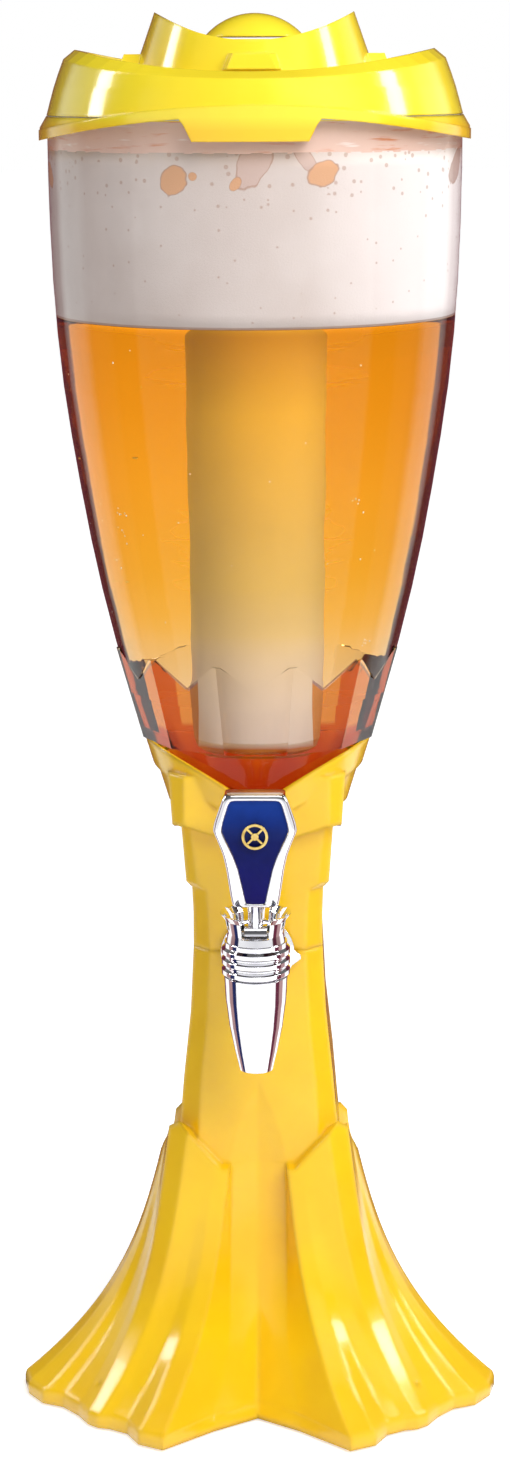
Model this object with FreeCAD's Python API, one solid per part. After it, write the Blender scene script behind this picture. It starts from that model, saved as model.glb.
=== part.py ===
import FreeCAD, Part
import math
import os

# Beer tower dispenser, millimetres. Z is up from the table, the tap points along -Y.
# Each level is built on the one below it, so a height can be changed by itself.

# Clearances and walls shared by several pieces
REST_GAP = 0.3            # between faces of pieces that only rest on each other
RUN_GAP = 0.05            # radial clearance of a turning pin or sliding stem
SLIP_GAP = 0.15           # radial clearance of a slip fit
PRESS_GAP = 0.1           # between pieces that are clamped together
STAND_WALL = 2.6
CUP_WALL = 3.0
LID_WALL = 2.4

# Foot: rim, flared skirt with corner petals, four valleys
FOOT_PAD_HEIGHT = 1.2     # rubber feet that lift the rim off the table
RIM_HEIGHT = 3.6
RIM_ROUND = 2.4
PETAL_HEIGHT = 116.3      # corner peaks of the petals above the rim's lower edge
PETAL_DIP = 19.5          # how much lower the petal edge is beside a valley
PETAL_DIP_HALF = 15.0
PETAL_TOP_HALF = 36.4     # half width of the petals at their top
PETAL_PEAK_HALF = 34.0
REAR_PETAL_DROP = 18.0    # how much lower the rear petals end
FLARE_LINEAR = 0.42       # share of the flare that grows evenly with depth
FLARE_POWER = 3.8
FLARE_SHARES = (1.0, 0.94, 0.85, 0.73, 0.58, 0.39, 0.175, -0.022)   # depths of the skirt's sections
REAR_SHARE_X = 0.70       # the rear petals are drawn in, across and along
REAR_SHARE_Y = 0.94
VALLEY_RUN = 25.5         # how far the valleys run on up the column above the petals
VALLEY_FLOORS = (70.0, 60.0, 66.0)   # crease to axis at the rim: front, sides, rear
VALLEY_APEX_HALF = 30.6   # distance of the valley's upper end from the axis
VALLEY_MOUTH_HALF = 12.2  # half width on the column where the petals begin
VALLEY_WALL_SHARE = 0.46  # where the crease on a wall lies, across and along
VALLEY_WALL_DEPTH = 0.40
VALLEY_WALL_FADE = 0.7    # share of the depth by which that crease has left the ridge
PETAL_TOP_Z = FOOT_PAD_HEIGHT + PETAL_HEIGHT
PETAL_DIP_Z = PETAL_TOP_Z - PETAL_DIP
VALLEY_TOP_Z = PETAL_TOP_Z + VALLEY_RUN

# One quadrant of the rim: (angle from the front axis, radius) and where the same crease
# starts on the chamfered square at the petals' top, as shares of its half width
RIM_POINTS = [
    (20.9, 105.0, 0.27, 1.00),
    (27.1, 104.6, 0.43, 1.00),
    (32.0, 99.2, 0.55, 1.00),
    (36.8, 100.0, 0.67, 1.00),
    (39.4, 102.2, 0.78, 1.00),
    (42.4, 102.5, 1.00, 0.78),
    (47.2, 100.3, 1.00, 0.67),
    (53.0, 100.7, 1.00, 0.56),
    (57.5, 105.9, 1.00, 0.50),
    (63.5, 107.2, 1.00, 0.42),
    (69.1, 105.2, 1.00, 0.27),
]

# The same for the hollow, which leaves the flutes out
HOLLOW_POINTS = [
    (24.5, 102.0, 0.45, 1.00),
    (32.0, 99.0, 0.56, 1.00),
    (39.4, 99.5, 0.78, 1.00),
    (42.4, 99.5, 1.00, 0.78),
    (50.0, 99.0, 1.00, 0.60),
    (65.5, 103.0, 1.00, 0.45),
]

# Column: half widths and corner chamfers of the chamfered square, from the petals to the seam
SEAM_RISE = 70.0          # from the petals' top to the seam of the stand's two halves
SEAM_HALF = 26.5          # half width of the stand at the seam, where the tap is fastened
SEAM_CHAMFER = 7.0
SEAM_Z = PETAL_TOP_Z + SEAM_RISE
LOWER_COLUMN = [
    (PETAL_TOP_Z - 27.5, 34.6, 8.5),
    (PETAL_TOP_Z - 5.5, 32.6, 8.0),
    (PETAL_TOP_Z + 14.5, 30.9, 7.5),
    (PETAL_TOP_Z + 42.5, 27.9, 7.2),
    (SEAM_Z, SEAM_HALF, SEAM_CHAMFER),
]
WAIST_RISE = 14.5         # heights above the seam, and the half width inside at the shelf
TIER_3_RISE = 28.5
TIER_2_RISE = 54.0
TIER_OVERLAP = 6.0        # how far a tier runs up behind the one above it
TIER_2_DIP = 6.0          # how far the tier's lower edge sags in the middle of a face
TIER_2_HEIGHT = 21.5
SHELF_HALF = 27.0
TIER_3_BOTTOM = SEAM_Z + TIER_3_RISE
TIER_2_BOTTOM = SEAM_Z + TIER_2_RISE
TIER_3_TOP = TIER_2_BOTTOM + TIER_OVERLAP
# (height, half width, chamfer, half depth): front and back run on where the sides step
UPPER_COLUMN = [(SEAM_Z, SEAM_HALF, SEAM_CHAMFER, SEAM_HALF), (SEAM_Z + WAIST_RISE, 26.4, 6.4, 26.7),
                (TIER_3_BOTTOM, 26.9, 6.0, 27.6), (TIER_3_TOP, 28.0, 6.0, 30.4)]
TIER_3 = [(TIER_3_BOTTOM - 2.2, 27.2, 5.0, 27.4), (TIER_3_BOTTOM, 29.1, 4.6, 27.6),
          (TIER_3_TOP, 31.2, 3.6, 30.8)]
TIER_2 = [(TIER_2_BOTTOM - TIER_2_DIP - 4.0, 33.2, 4.6, 32.8), (TIER_2_BOTTOM, 34.2, 4.8, 34.0),
          (TIER_2_BOTTOM + TIER_2_HEIGHT, 35.6, 6.5, 35.6)]
SPIGOT_HEIGHT = 9.0       # tongue and root that join the two halves
SPIGOT_ROOT = 6.0
SHELF_RISE = 46.5         # from the seam to the underside of the shelf that carries the cup
SHELF_THICK = 3.5
SHELF_Z = SEAM_Z + SHELF_RISE

# Collar: a conical band round the cup, dipped in front and behind
COLLAR_RISE = 39.6        # from the shelf to the collar's top
COLLAR_TOP_R = 46.6
COLLAR_SLOPE = 0.30       # radius lost per millimetre down
SEAT_SLOPE = 0.46         # the same for the cup inside the collar
SEAT_HEIGHT = 22.0
COLLAR_LIP = 1.4
COLLAR_BAND = 11.5
COLLAR_EDGE_HALF = 43.0   # where the dip begins at the sides
COLLAR_DIP = 23.6
COLLAR_DIP_MID_X = 20.5
COLLAR_DIP_MID = 9.4
BAND_PROUD = 1.5
COLLAR_TOP_Z = SHELF_Z + COLLAR_RISE

# Cup: outer wall as (share of its height, radius), facets round its lower part, neck
CUP_HEIGHT = 246.4        # above the collar
CUP_WALL_SHARES = [(0.0463, 50.3), (0.1599, 57.8), (0.2711, 64.2), (0.4367, 71.6), (0.5994, 77.3),
                   (0.7971, 80.6), (1.0, 81.2)]
CUP_WALL_RINGS = 13       # rings that follow the wall's curve
CUP_LOWER_TOP_R = 46.9    # just above the collar's lip
BOWL_STEP = 2.0           # how far the bowl draws in at the collar
FACET_COUNT = 12
FACET_PEAK_RISE = 37.9    # above the collar
FACET_PEAK_R = 56.6       # distance of a facet's flat from the axis at the peaks' height
FACET_NOTCH = 10.5        # from the peaks down to the valleys between them
FACET_SINK = 0.5          # how far a facet's middle lies inside the round wall
NECK_R = 15.0
NECK_BORE_R = 12.0
NECK_LENGTH = 10.0        # below the shelf
FLOOR_RISE = 8.0          # cup's floor above the shelf's underside
CUP_BASE_Z = COLLAR_TOP_Z + REST_GAP
CUP_RIM_Z = COLLAR_TOP_Z + CUP_HEIGHT
CUP_WALL_STATIONS = [(COLLAR_TOP_Z + share * CUP_HEIGHT, r) for share, r in CUP_WALL_SHARES]
CUP_RIM_R = CUP_WALL_SHARES[-1][1]
FACET_PEAK_Z = COLLAR_TOP_Z + FACET_PEAK_RISE
FACET_VALLEY_Z = FACET_PEAK_Z - FACET_NOTCH
NECK_BOTTOM_Z = SHELF_Z - NECK_LENGTH
CUP_FLOOR_Z = SHELF_Z + FLOOR_RISE

# Neck chamber: carries the beer from the neck to the tap
CHAMBER_WALL = 2.2
CHAMBER_DEPTH = 17.5      # below the tap's axis
CHAMBER_FLANGE_R = 20.5
CHAMBER_FLANGE_THICK = 3.0
GASKET_THICK = 1.6
SOCKET_END_Y = 20.2
CHAMBER_BOTTOM_Z = SEAM_Z - CHAMBER_DEPTH

# Lid: levels are counted from the cup's rim
LID_EDGE_DROP = 8.5       # lower edge at the sides
LID_EDGE_RISE = 10.0      # higher edge in front and behind
LID_BAND = 5.0
LID_BAND_R = 84.5
LID_BAND_PROUD = 0.4
LID_BELL = [(0.17, 81.2), (0.36, 79.7), (0.61, 77.4)]   # (share of the height, radius) of the bell
LID_DECK_RISE = 14.0
LID_RIM_RISE = 12.0       # rim above the deck at the sides
LID_TOP_DIP = 8.5
LID_TOP_R = 70.0          # outer edge of the rim's flat top
LID_RIM_WIDTH = 3.6
LID_BELL_TOP_R = 72.4
RIM_SLOPE_FRONT = 0.35    # fall per millimetre of the slope outside the flat top
RIM_SLOPE_SIDE = 0.8
RIM_SIDES = 48            # sides of the polygon that the slope is made on
LID_TAB_TOP_HALF = 29.0
LID_TAB_HALF = 21.5
LID_TAB_CORNER = 3.0
SPIGOT_R = 76.8           # ring that plugs the cup's mouth
SPIGOT_DEPTH = 11.0
SPIGOT_STEP = 5.0         # height above the rim where the lid's hollow turns in to the deck
LID_HOLE_R = 22.6
LID_NECK_R = 28.0
LID_NECK_RISE = 7.0       # above the deck
SEAL_THICK = 1.2
LID_EDGE_Z = CUP_RIM_Z - LID_EDGE_DROP
LID_TAB_Z = LID_EDGE_Z + 1.0
LID_DECK_Z = CUP_RIM_Z + LID_DECK_RISE
LID_TOP_Z = LID_DECK_Z + LID_RIM_RISE
LID_NECK_Z = LID_DECK_Z + LID_NECK_RISE

# Ice tube and crown cap
TUBE_DROP = 2.6           # tube's foot below the collar's top
TUBE_BOTTOM_R = 19.4
TUBE_TOP_R = 22.2
TUBE_WALL = 1.8
TUBE_ROUND = 5.0
TUBE_FLANGE_THICK = 2.0
THREAD_LENGTH = 4.3
THREAD_DEPTH = 2.0
CROWN_FLOOR_GAP = 0.5     # between the thread's end and the cap
CROWN_FLOOR = 2.0
CROWN_RISE = 9.0          # corners of the crown above its floor
CROWN_TOP_R = 38.8
CROWN_FOOT_R = 48.0
CROWN_DIP = 11.0
CROWN_WALL = 4.0
DOME_R = 19.2
DOME_RISE = 8.6
TONGUE_HALF = 9.5
TONGUE_REACH = 53.0
TONGUE_THICK = 6.0
TONGUE_RISE = 4.2         # above the deck
TONGUE_BEVEL = 2.5        # slope of the tongue's top edges
TUBE_BOTTOM_Z = COLLAR_TOP_Z - TUBE_DROP
TUBE_SEAT_Z = LID_NECK_Z + SEAL_THICK
TUBE_FLANGE_TOP = TUBE_SEAT_Z + TUBE_FLANGE_THICK
TUBE_THREAD_Z = TUBE_FLANGE_TOP + THREAD_LENGTH
THREAD_R = TUBE_TOP_R + THREAD_DEPTH
CROWN_FLOOR_Z = TUBE_THREAD_Z + CROWN_FLOOR_GAP + CROWN_FLOOR
CROWN_TOP_Z = CROWN_FLOOR_Z + CROWN_RISE

# Tap
TAP_Y = -62.0             # axis of the tap's barrel
TAP_SHANK_R = 7.8
SHANK_BORE_R = 5.6
VALVE_SEAT_R = 4.4
VALVE_SEAT_THICK = 2.0
INLET_LENGTH = 6.0        # from the barrel's bore to the valve seat
BARREL_TOP_R = 12.7
BARREL_BORE_R = 8.8
BARREL_THREAD_R = 11.4
BARREL_STATIONS = [(30.5, 8.6), (19.5, 10.8), (8.5, 12.2)]   # (depth below the tap's axis, radius)
SHOULDER_R = 10.0         # boss behind the barrel that presses the flange to the column
NOZZLE_R = 6.8
NOZZLE_BORE_R = 5.0
NOZZLE_BORE_LENGTH = 12.5
NOZZLE_FUNNEL = 12.0      # height over which the bore widens to the barrel's
NOZZLE_DEPTH = 38.0       # below the tap's axis
BONNET_R = 13.6
BONNET_LIFT = 1.5         # above the tap's axis
BONNET_HEIGHT = 12.5
BONNET_RINGS = 3
BONNET_GROOVE = 1.2
BONNET_LIP = 1.5
GUARD_HEIGHT = 11.5
GUARD_THROAT = 3.5
GUARD_BEND = 9.0
GUARD_TOP_R = 14.0
GUARD_WAIST_R = 11.2
GUARD_WALL = 1.8
GUARD_PRONGS = 8
GUARD_FRONT_HALF = 5.4    # half width of the slot that the lever tilts in
PRONG_GAP = 2.6
PIVOT_RISE = 3.5          # above the barrel's top
PIVOT_PIN_R = 1.5
LEVER_R = 3.0
LEVER_TIP_R = 2.4
LEVER_TAIL_R = 1.3
HUB_R = 4.4
HUB_HALF = 4.5
STEM_IN_HANDLE = 9.0
TIP_GAP = 0.25            # play of the tip in the plunger, so that the arc fits the slide
PLUNGER_R = 4.1           # slides into the inlet in front of the valve seat
ROD_R = 1.8
SEAL_LENGTH = 2.6
FLANGE_R = 15.0
FLANGE_THICK = 3.0
FLANGE_BEVEL = 1.2
NIB_REACH = 2.6
WASHER_R = 12.0
WASHER_THICK = 1.0
NUT_FLATS = 21.0
NUT_THICK = 3.2
NOZZLE_END_Z = SEAM_Z - NOZZLE_DEPTH
BONNET_BOTTOM_Z = SEAM_Z + BONNET_LIFT
BONNET_TOP_Z = BONNET_BOTTOM_Z + BONNET_HEIGHT
GUARD_LOW_Z = BONNET_TOP_Z + BONNET_LIP
GUARD_TOP_Z = GUARD_LOW_Z + GUARD_HEIGHT
PIVOT_Z = BONNET_TOP_Z + PIVOT_RISE

# Handle: (height above its foot, half width, half depth) of its stations
HANDLE_LIFT = 12.0        # foot of the handle above the pivot
HANDLE_SHAPE = [
    (0.0, 9.0, 3.6),
    (5.0, 10.0, 4.6),
    (16.0, 11.6, 5.2),
    (22.0, 12.9, 5.9),
    (27.0, 14.7, 6.5),
    (32.0, 16.7, 6.8),
    (35.5, 16.0, 6.6),
    (44.8, 12.7, 5.4),
    (46.8, 11.4, 4.0),
]
INLAY_FRAME = 3.6         # width of the chrome frame round the inlay
INLAY_DEPTH = 1.4
INLAY_SINK = 0.4          # how far the inlay lies below the frame
EMBLEM_R = 5.2
EMBLEM_RING = 1.1
EMBLEM_THICK = 0.8
EMBLEM_RISE = 30.0        # above the handle's foot
EMBLEM_HUB_R = 1.5
SPOKE_HALF = 0.45
HANDLE_FOOT_Z = PIVOT_Z + HANDLE_LIFT
HANDLE_STATIONS = [(HANDLE_FOOT_Z + rise, half, depth) for rise, half, depth in HANDLE_SHAPE]
EMBLEM_Z = HANDLE_FOOT_Z + EMBLEM_RISE

# Under the foot
PLATE_THICK = 2.4
PLATE_GAP = 0.5
BOSS_R = 4.5
BOSS_TOP = 60.0
BOSS_AT = 64.0            # distance of the screw bosses from both middle planes
SCREW_R = 1.7
SCREW_HEAD_R = 3.6
SCREW_LENGTH = 12.0
SLOT_HALF = 0.4           # slot in a screw's head
SLOT_DEPTH = 0.5
PAD_R = 5.5
PAD_INSET_FRONT = 16.0
PAD_INSET_REAR = 14.0

FAR = 60.0                # reach of cutting tools beyond what they cut


def vec(x, y, z):
    return FreeCAD.Vector(x, y, z)


AXIS_Z = vec(0, 0, 1)
AXIS_Y = vec(0, 1, 0)
AXIS_X = vec(1, 0, 0)
ORIGIN = vec(0, 0, 0)


# ---------------------------------------------------------------- basic forms

def cylinder(radius, low, high, x=0.0, y=0.0):
    return Part.makeCylinder(radius, high - low, vec(x, y, low))


def ring(outer, inner, low, high, x=0.0, y=0.0):
    return cylinder(outer, low, high, x, y).cut(cylinder(inner, low - 1.0, high + 1.0, x, y))


def cylinder_y(radius, low, high, z=SEAM_Z, x=0.0):
    return Part.makeCylinder(radius, high - low, vec(x, low, z), AXIS_Y)


def ring_y(outer, inner, low, high, z=SEAM_Z):
    return cylinder_y(outer, low, high, z).cut(cylinder_y(inner, low - 1.0, high + 1.0, z))


def box(x0, x1, y0, y1, z0, z1):
    return Part.makeBox(x1 - x0, y1 - y0, z1 - z0, vec(x0, y0, z0))


def polygon(points):
    return Part.makePolygon([vec(*p) for p in points] + [vec(*points[0])])


def prism(points, direction):
    return Part.Face(polygon(points)).extrude(direction)


def revolve(profile, centre=ORIGIN):
    """Turn a closed profile of (radius, height) points round the vertical through centre."""
    wire = polygon([(r + centre.x, centre.y, z) for r, z in profile])
    return Part.Face(wire).revolve(centre, AXIS_Z, 360)


def bowed(stations, count):
    """(radius, height) points along a smooth curve through (height, radius) stations."""
    curve = Part.BSplineCurve()
    curve.interpolate([vec(r, 0, z) for z, r in stations])
    return [(point.x, point.z) for point in curve.discretize(Number=count)]


def fuse(first, *others):
    result = first
    for other in others:
        result = result.fuse(other)
    return result.removeSplitter()


def around(shape, count, offset=0.0, centre=ORIGIN):
    """Copies of a shape, evenly spaced round the vertical through centre."""
    copies = []
    for index in range(count):
        copy = shape.copy()
        copy.rotate(centre, AXIS_Z, offset + index * 360.0 / count)
        copies.append(copy)
    return copies


def saddle(half, edge_z, middle_z, reach, far_z):
    """Everything on far_z's side of an arc over x, the same for every y within reach."""
    arc = Part.Arc(vec(-half, -reach, edge_z), vec(0, -reach, middle_z), vec(half, -reach, edge_z)).toShape()
    right = Part.makeLine(vec(half, -reach, edge_z), vec(reach, -reach, edge_z))
    far = Part.makePolygon([vec(reach, -reach, edge_z), vec(reach, -reach, far_z),
                            vec(-reach, -reach, far_z), vec(-reach, -reach, edge_z)])
    left = Part.makeLine(vec(-reach, -reach, edge_z), vec(-half, -reach, edge_z))
    wire = Part.Wire([arc, right] + far.Edges + [left])
    return Part.Face(wire).extrude(vec(0, 2 * reach, 0))


# ---------------------------------------------------------------- stand

def square_section(z, half_x, chamfer, inset=0.0, half_y=None):
    """Chamfered square at height z, its faces across X and Y."""
    hx = half_x - inset
    hy = (half_y or half_x) - inset
    c = max(chamfer - 0.59 * inset, 0.4)
    corners = [(hx - c, -hy), (hx, -(hy - c)), (hx, hy - c), (hx - c, hy),
               (-(hx - c), hy), (-hx, hy - c), (-hx, -(hy - c)), (-(hx - c), -hy)]
    return polygon([(x, y, z) for x, y in corners])


def column(stations, inset=0.0):
    wires = []
    for station in stations:
        z, half_x, chamfer = station[:3]
        half_y = station[3] if len(station) > 3 else half_x
        wires.append(square_section(z, half_x, chamfer, inset, half_y))
    return Part.makeLoft(wires, True, True)


def flare(depth):
    """Share of the whole flare reached at a share of its depth."""
    return FLARE_LINEAR * depth + (1.0 - FLARE_LINEAR) * abs(depth) ** FLARE_POWER


FLARE_END_Z = FOOT_PAD_HEIGHT + RIM_HEIGHT + RIM_ROUND
FLARE_DEPTH = PETAL_TOP_Z - FLARE_END_Z


def rim_point(row, inset=0.0, rear=False):
    """A rim crease in the quadrant between -Y and +X, or the rear one between +Y and +X."""
    angle = math.radians(row[0])
    reach = row[1] - inset * 1.15
    x = reach * math.sin(angle)
    y = -reach * math.cos(angle)
    if rear:
        return x * REAR_SHARE_X, -y * REAR_SHARE_Y
    return x, y


def crease_point(row, z, inset=0.0, rear=False):
    """Where a crease passes height z on its way from the petal's top to the rim."""
    rim_x, rim_y = rim_point(row, inset + RIM_ROUND * 0.3, rear)
    half = PETAL_TOP_HALF - inset
    top_x = half * row[2]
    top_y = half * row[3] * (1.0 if rear else -1.0)
    share = flare((PETAL_TOP_Z - z) / FLARE_DEPTH)
    return top_x + (rim_x - top_x) * share, top_y + (rim_y - top_y) * share


def column_half(z):
    """Half width of the lower column at height z."""
    for low, high in zip(LOWER_COLUMN, LOWER_COLUMN[1:]):
        if z <= high[0]:
            return low[1] + (high[1] - low[1]) * (z - low[0]) / (high[0] - low[0])
    return LOWER_COLUMN[-1][1]


def valley_mouth(z):
    """Half width of a valley where it runs out on the column above the petals."""
    share = (VALLEY_TOP_Z - z) / (VALLEY_TOP_Z - PETAL_DIP_Z)
    return VALLEY_MOUTH_HALF * max(share, 0.02)


def valley_reach(z, at_rim):
    """Distance of a valley's middle crease from the axis at height z."""
    depth = (PETAL_DIP_Z - z) / (PETAL_DIP_Z - FOOT_PAD_HEIGHT)
    return VALLEY_APEX_HALF + (at_rim - VALLEY_APEX_HALF) * flare(max(depth, 0.0))


def turned(point, angle):
    angle = math.radians(angle)
    x, y = point
    return x * math.cos(angle) - y * math.sin(angle), x * math.sin(angle) + y * math.cos(angle)


def valley_points(turn, first, second, at_rim, z, grow):
    """Crease on the first wall, middle crease and crease on the second wall of a valley at height z.

    turn is the valley's angle from the front; first and second are the ridges beside it.
    """
    reach = valley_reach(z, at_rim)
    depth = max((PETAL_DIP_Z - z) / (PETAL_DIP_Z - FOOT_PAD_HEIGHT), 0.0)
    fade = min(depth / VALLEY_WALL_FADE, 1.0)
    points = []
    for ridge in (first, second):
        ridge_x, ridge_y = turned(ridge, -turn)
        top_share = min(valley_mouth(z) / abs(ridge_x), 0.95)
        top_depth = (column_half(PETAL_DIP_Z) - reach) / (-ridge_y - reach)
        share = top_share + (VALLEY_WALL_SHARE - top_share) * fade
        down = top_depth + (VALLEY_WALL_DEPTH - top_depth) * fade
        wall_x = share * ridge_x + math.copysign(grow * 0.7, ridge_x)
        points.append(turned((wall_x, -reach + (ridge_y + reach) * down + grow), turn))
    return [points[0], turned((0.0, grow * 1.3 - reach), turn), points[1]]


def foot_section(z, rows, inset=0.0, rim=False):
    """Closed outline of the foot at height z: fluted petals at the corners, creased valleys between."""
    def ridge(row, rear):
        if rim:
            return rim_point(row, inset, rear)
        return crease_point(row, z, inset, rear)

    front_rows = [ridge(row, False) for row in rows]
    rear_rows = [ridge(row, True) for row in reversed(rows)]
    first = front_rows[0]
    last = rear_rows[-1]
    front, side, rear = VALLEY_FLOORS
    _, front_floor, front_wall = valley_points(0.0, (-first[0], first[1]), first, front, z, inset)
    side_points = valley_points(90.0, front_rows[-1], rear_rows[0], side, z, inset)
    rear_wall, rear_floor, _ = valley_points(180.0, last, (-last[0], last[1]), rear, z, inset)
    right = [front_wall] + front_rows + side_points + rear_rows + [rear_wall]
    left = [(-x, y) for x, y in reversed(right)]
    return polygon([(x, y, z) for x, y in [front_floor] + right + [rear_floor] + left])


def petal_edge(drop):
    """Tool that leaves the petals below their edge: low beside the valleys, high at the corners.

    The rear petals end lower than the front ones.
    """
    reach = 150.0
    top = PETAL_TOP_Z + FAR
    rear_z = PETAL_TOP_Z - REAR_PETAL_DROP
    rear_dip_z = PETAL_DIP_Z - REAR_PETAL_DROP

    def cut(points, direction, start):
        return prism([(*start(a), z) for a, z in points], direction)

    front = [(-reach, PETAL_TOP_Z), (-PETAL_PEAK_HALF, PETAL_TOP_Z), (-PETAL_DIP_HALF, PETAL_DIP_Z),
             (PETAL_DIP_HALF, PETAL_DIP_Z), (PETAL_PEAK_HALF, PETAL_TOP_Z), (reach, PETAL_TOP_Z),
             (reach, top), (-reach, top)]
    rear = [(x, z if z == top else z - REAR_PETAL_DROP) for x, z in front]
    side = [(-reach, PETAL_TOP_Z), (-PETAL_PEAK_HALF, PETAL_TOP_Z), (-PETAL_DIP_HALF, PETAL_DIP_Z),
            (PETAL_DIP_HALF, rear_dip_z), (PETAL_PEAK_HALF, rear_z), (reach, rear_z),
            (reach, top), (-reach, top)]
    across = cut(front, vec(0, reach, 0), lambda x: (x, -reach))
    across = across.fuse(cut(rear, vec(0, reach, 0), lambda x: (x, 0.0)))
    along = cut(side, vec(2 * reach, 0, 0), lambda y: (-reach, y))
    edge = across.fuse(along)
    edge.translate(vec(0, 0, -drop))
    return edge


def valley_run_out(grow):
    """Cut that carries a valley on up the column's front face to its end."""
    wires = []
    for z in (LOWER_COLUMN[0][0] - 1.0, PETAL_DIP_Z, PETAL_TOP_Z + 2.5, VALLEY_TOP_Z - 1.0 + grow):
        half = column_half(z)
        reach = valley_reach(z, VALLEY_FLOORS[0]) - grow
        mouth = valley_mouth(z)
        slope = mouth / (half - reach + 0.01 * grow)
        far = mouth + slope * 8.0
        wires.append(polygon([(-far, -half - 8.0, z), (0.0, -reach, z), (far, -half - 8.0, z)]))
    return Part.makeLoft(wires, True, True)


def foot_body(inset=0.0):
    """Outer form of the foot, or its plainer hollow when inset."""
    low = FOOT_PAD_HEIGHT
    rim_top = low + RIM_HEIGHT
    rows = HOLLOW_POINTS if inset else RIM_POINTS
    levels = [PETAL_TOP_Z - share * FLARE_DEPTH for share in FLARE_SHARES]
    skirt = Part.makeLoft([foot_section(z, rows, inset) for z in levels], True, False)
    rim_levels = [(low, 0.0), (rim_top, 0.0), (rim_top + RIM_ROUND * 0.6, 0.3)]
    if inset:
        rim_levels = [(low - 2.0, inset), (rim_top, inset)]
    rim_wires = [foot_section(z, rows, drawn_in, True) for z, drawn_in in rim_levels]
    rim = Part.makeLoft(rim_wires + [foot_section(FLARE_END_Z, rows, inset)], True, True)
    core = column(LOWER_COLUMN, inset)
    for cut in around(valley_run_out(inset), 4):
        core = core.cut(cut)
    return skirt.cut(petal_edge(inset * 1.4)).fuse(rim).fuse(core)


def spigot(inset, low, high):
    """Square tongue between two heights, inset from the faces of the column at the seam."""
    _, half, chamfer = LOWER_COLUMN[-1]
    wires = [square_section(level, half, chamfer, inset) for level in (low, high)]
    return Part.makeLoft(wires, True, True)


COLUMN_FACE_Y = -SEAM_HALF - PRESS_GAP
NUT_R = NUT_FLATS / 2 / math.cos(math.pi / 6)


def tap_hole():
    """Hole for the tap's shank with a flat seat round it, outside for the flange, inside for the nut."""
    hole = cylinder_y(TAP_SHANK_R + SLIP_GAP, -FAR, 0.0)
    outside = cylinder_y(FLANGE_R + REST_GAP, -FAR, COLUMN_FACE_Y)
    inside = cylinder_y(NUT_R + 0.8, STAND_WALL - SEAM_HALF, 0.0)
    return hole.fuse(outside).fuse(inside)


def screw_places():
    """Screws under the front petals and, drawn in like them, under the rear ones."""
    rear_x = BOSS_AT * REAR_SHARE_X
    rear_y = BOSS_AT * REAR_SHARE_Y
    return [(-BOSS_AT, -BOSS_AT), (BOSS_AT, -BOSS_AT), (rear_x, rear_y), (-rear_x, rear_y)]


def make_foot_shell():
    shell = foot_body().cut(foot_body(STAND_WALL))
    root_z = SEAM_Z - SPIGOT_ROOT
    root = spigot(STAND_WALL - 0.5, root_z, SEAM_Z)
    tongue = spigot(STAND_WALL + SLIP_GAP, root_z, SEAM_Z + SPIGOT_HEIGHT)
    hole = spigot(STAND_WALL * 2, root_z - 1.0, SEAM_Z + SPIGOT_HEIGHT + 1.0)
    shell = shell.fuse(root.fuse(tongue).cut(hole))
    boss_low = FOOT_PAD_HEIGHT + PLATE_THICK + REST_GAP
    outer = foot_body(0.8)
    for x, y in screw_places():
        boss = cylinder(BOSS_R, boss_low, BOSS_TOP, x, y).common(outer)
        hole = cylinder(SCREW_R - 0.2, boss_low - 1.0, FOOT_PAD_HEIGHT + SCREW_LENGTH + 1.0, x, y)
        shell = shell.fuse(boss).cut(hole)
    return shell.cut(tap_hole())


def make_base_plate():
    low = FOOT_PAD_HEIGHT
    inset = STAND_WALL + PLATE_GAP
    outlines = [foot_section(z, HOLLOW_POINTS, inset, True) for z in (low, low + PLATE_THICK)]
    plate = Part.makeLoft(outlines, True, True)
    for x, y in screw_places():
        plate = plate.cut(cylinder(SCREW_R + SLIP_GAP, low - 1.0, low + PLATE_THICK + 1.0, x, y))
        plate = plate.cut(cylinder(SCREW_HEAD_R + SLIP_GAP, low - 1.0, low + PLATE_THICK * 0.5, x, y))
    return plate


def make_base_screws():
    low = FOOT_PAD_HEIGHT + 0.2
    head_top = FOOT_PAD_HEIGHT + PLATE_THICK * 0.5
    screws = []
    for x, y in screw_places():
        head = cylinder(SCREW_HEAD_R, low, head_top, x, y)
        shaft = cylinder(SCREW_R - 0.25, head_top - 0.1, low + SCREW_LENGTH, x, y)
        slot = box(x - SCREW_HEAD_R, x + SCREW_HEAD_R, y - SLOT_HALF, y + SLOT_HALF,
                   low - 1.0, low + SLOT_DEPTH)
        screws.append(head.fuse(shaft).cut(slot).removeSplitter())
    return Part.makeCompound(screws)


def pad_places():
    """Pads near the two front corners and the two rear corners of the rim."""
    front_x, front_y = rim_point(RIM_POINTS[4], PAD_INSET_FRONT)
    rear_x, rear_y = rim_point(RIM_POINTS[2], PAD_INSET_REAR, True)
    return [(-front_x, front_y), (front_x, front_y), (rear_x, rear_y), (-rear_x, rear_y)]


def make_rubber_feet():
    return Part.makeCompound([cylinder(PAD_R, 0.0, FOOT_PAD_HEIGHT, x, y) for x, y in pad_places()])


def collar_cone(top_r, low, high, grow=0.0):
    """Cone of the collar between two heights, grown outwards by grow."""
    low_r = top_r - COLLAR_SLOPE * (COLLAR_TOP_Z - low) + grow
    high_r = top_r - COLLAR_SLOPE * (COLLAR_TOP_Z - high) + grow
    return revolve([(0, low), (low_r, low), (high_r, high), (0, high)])


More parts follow.
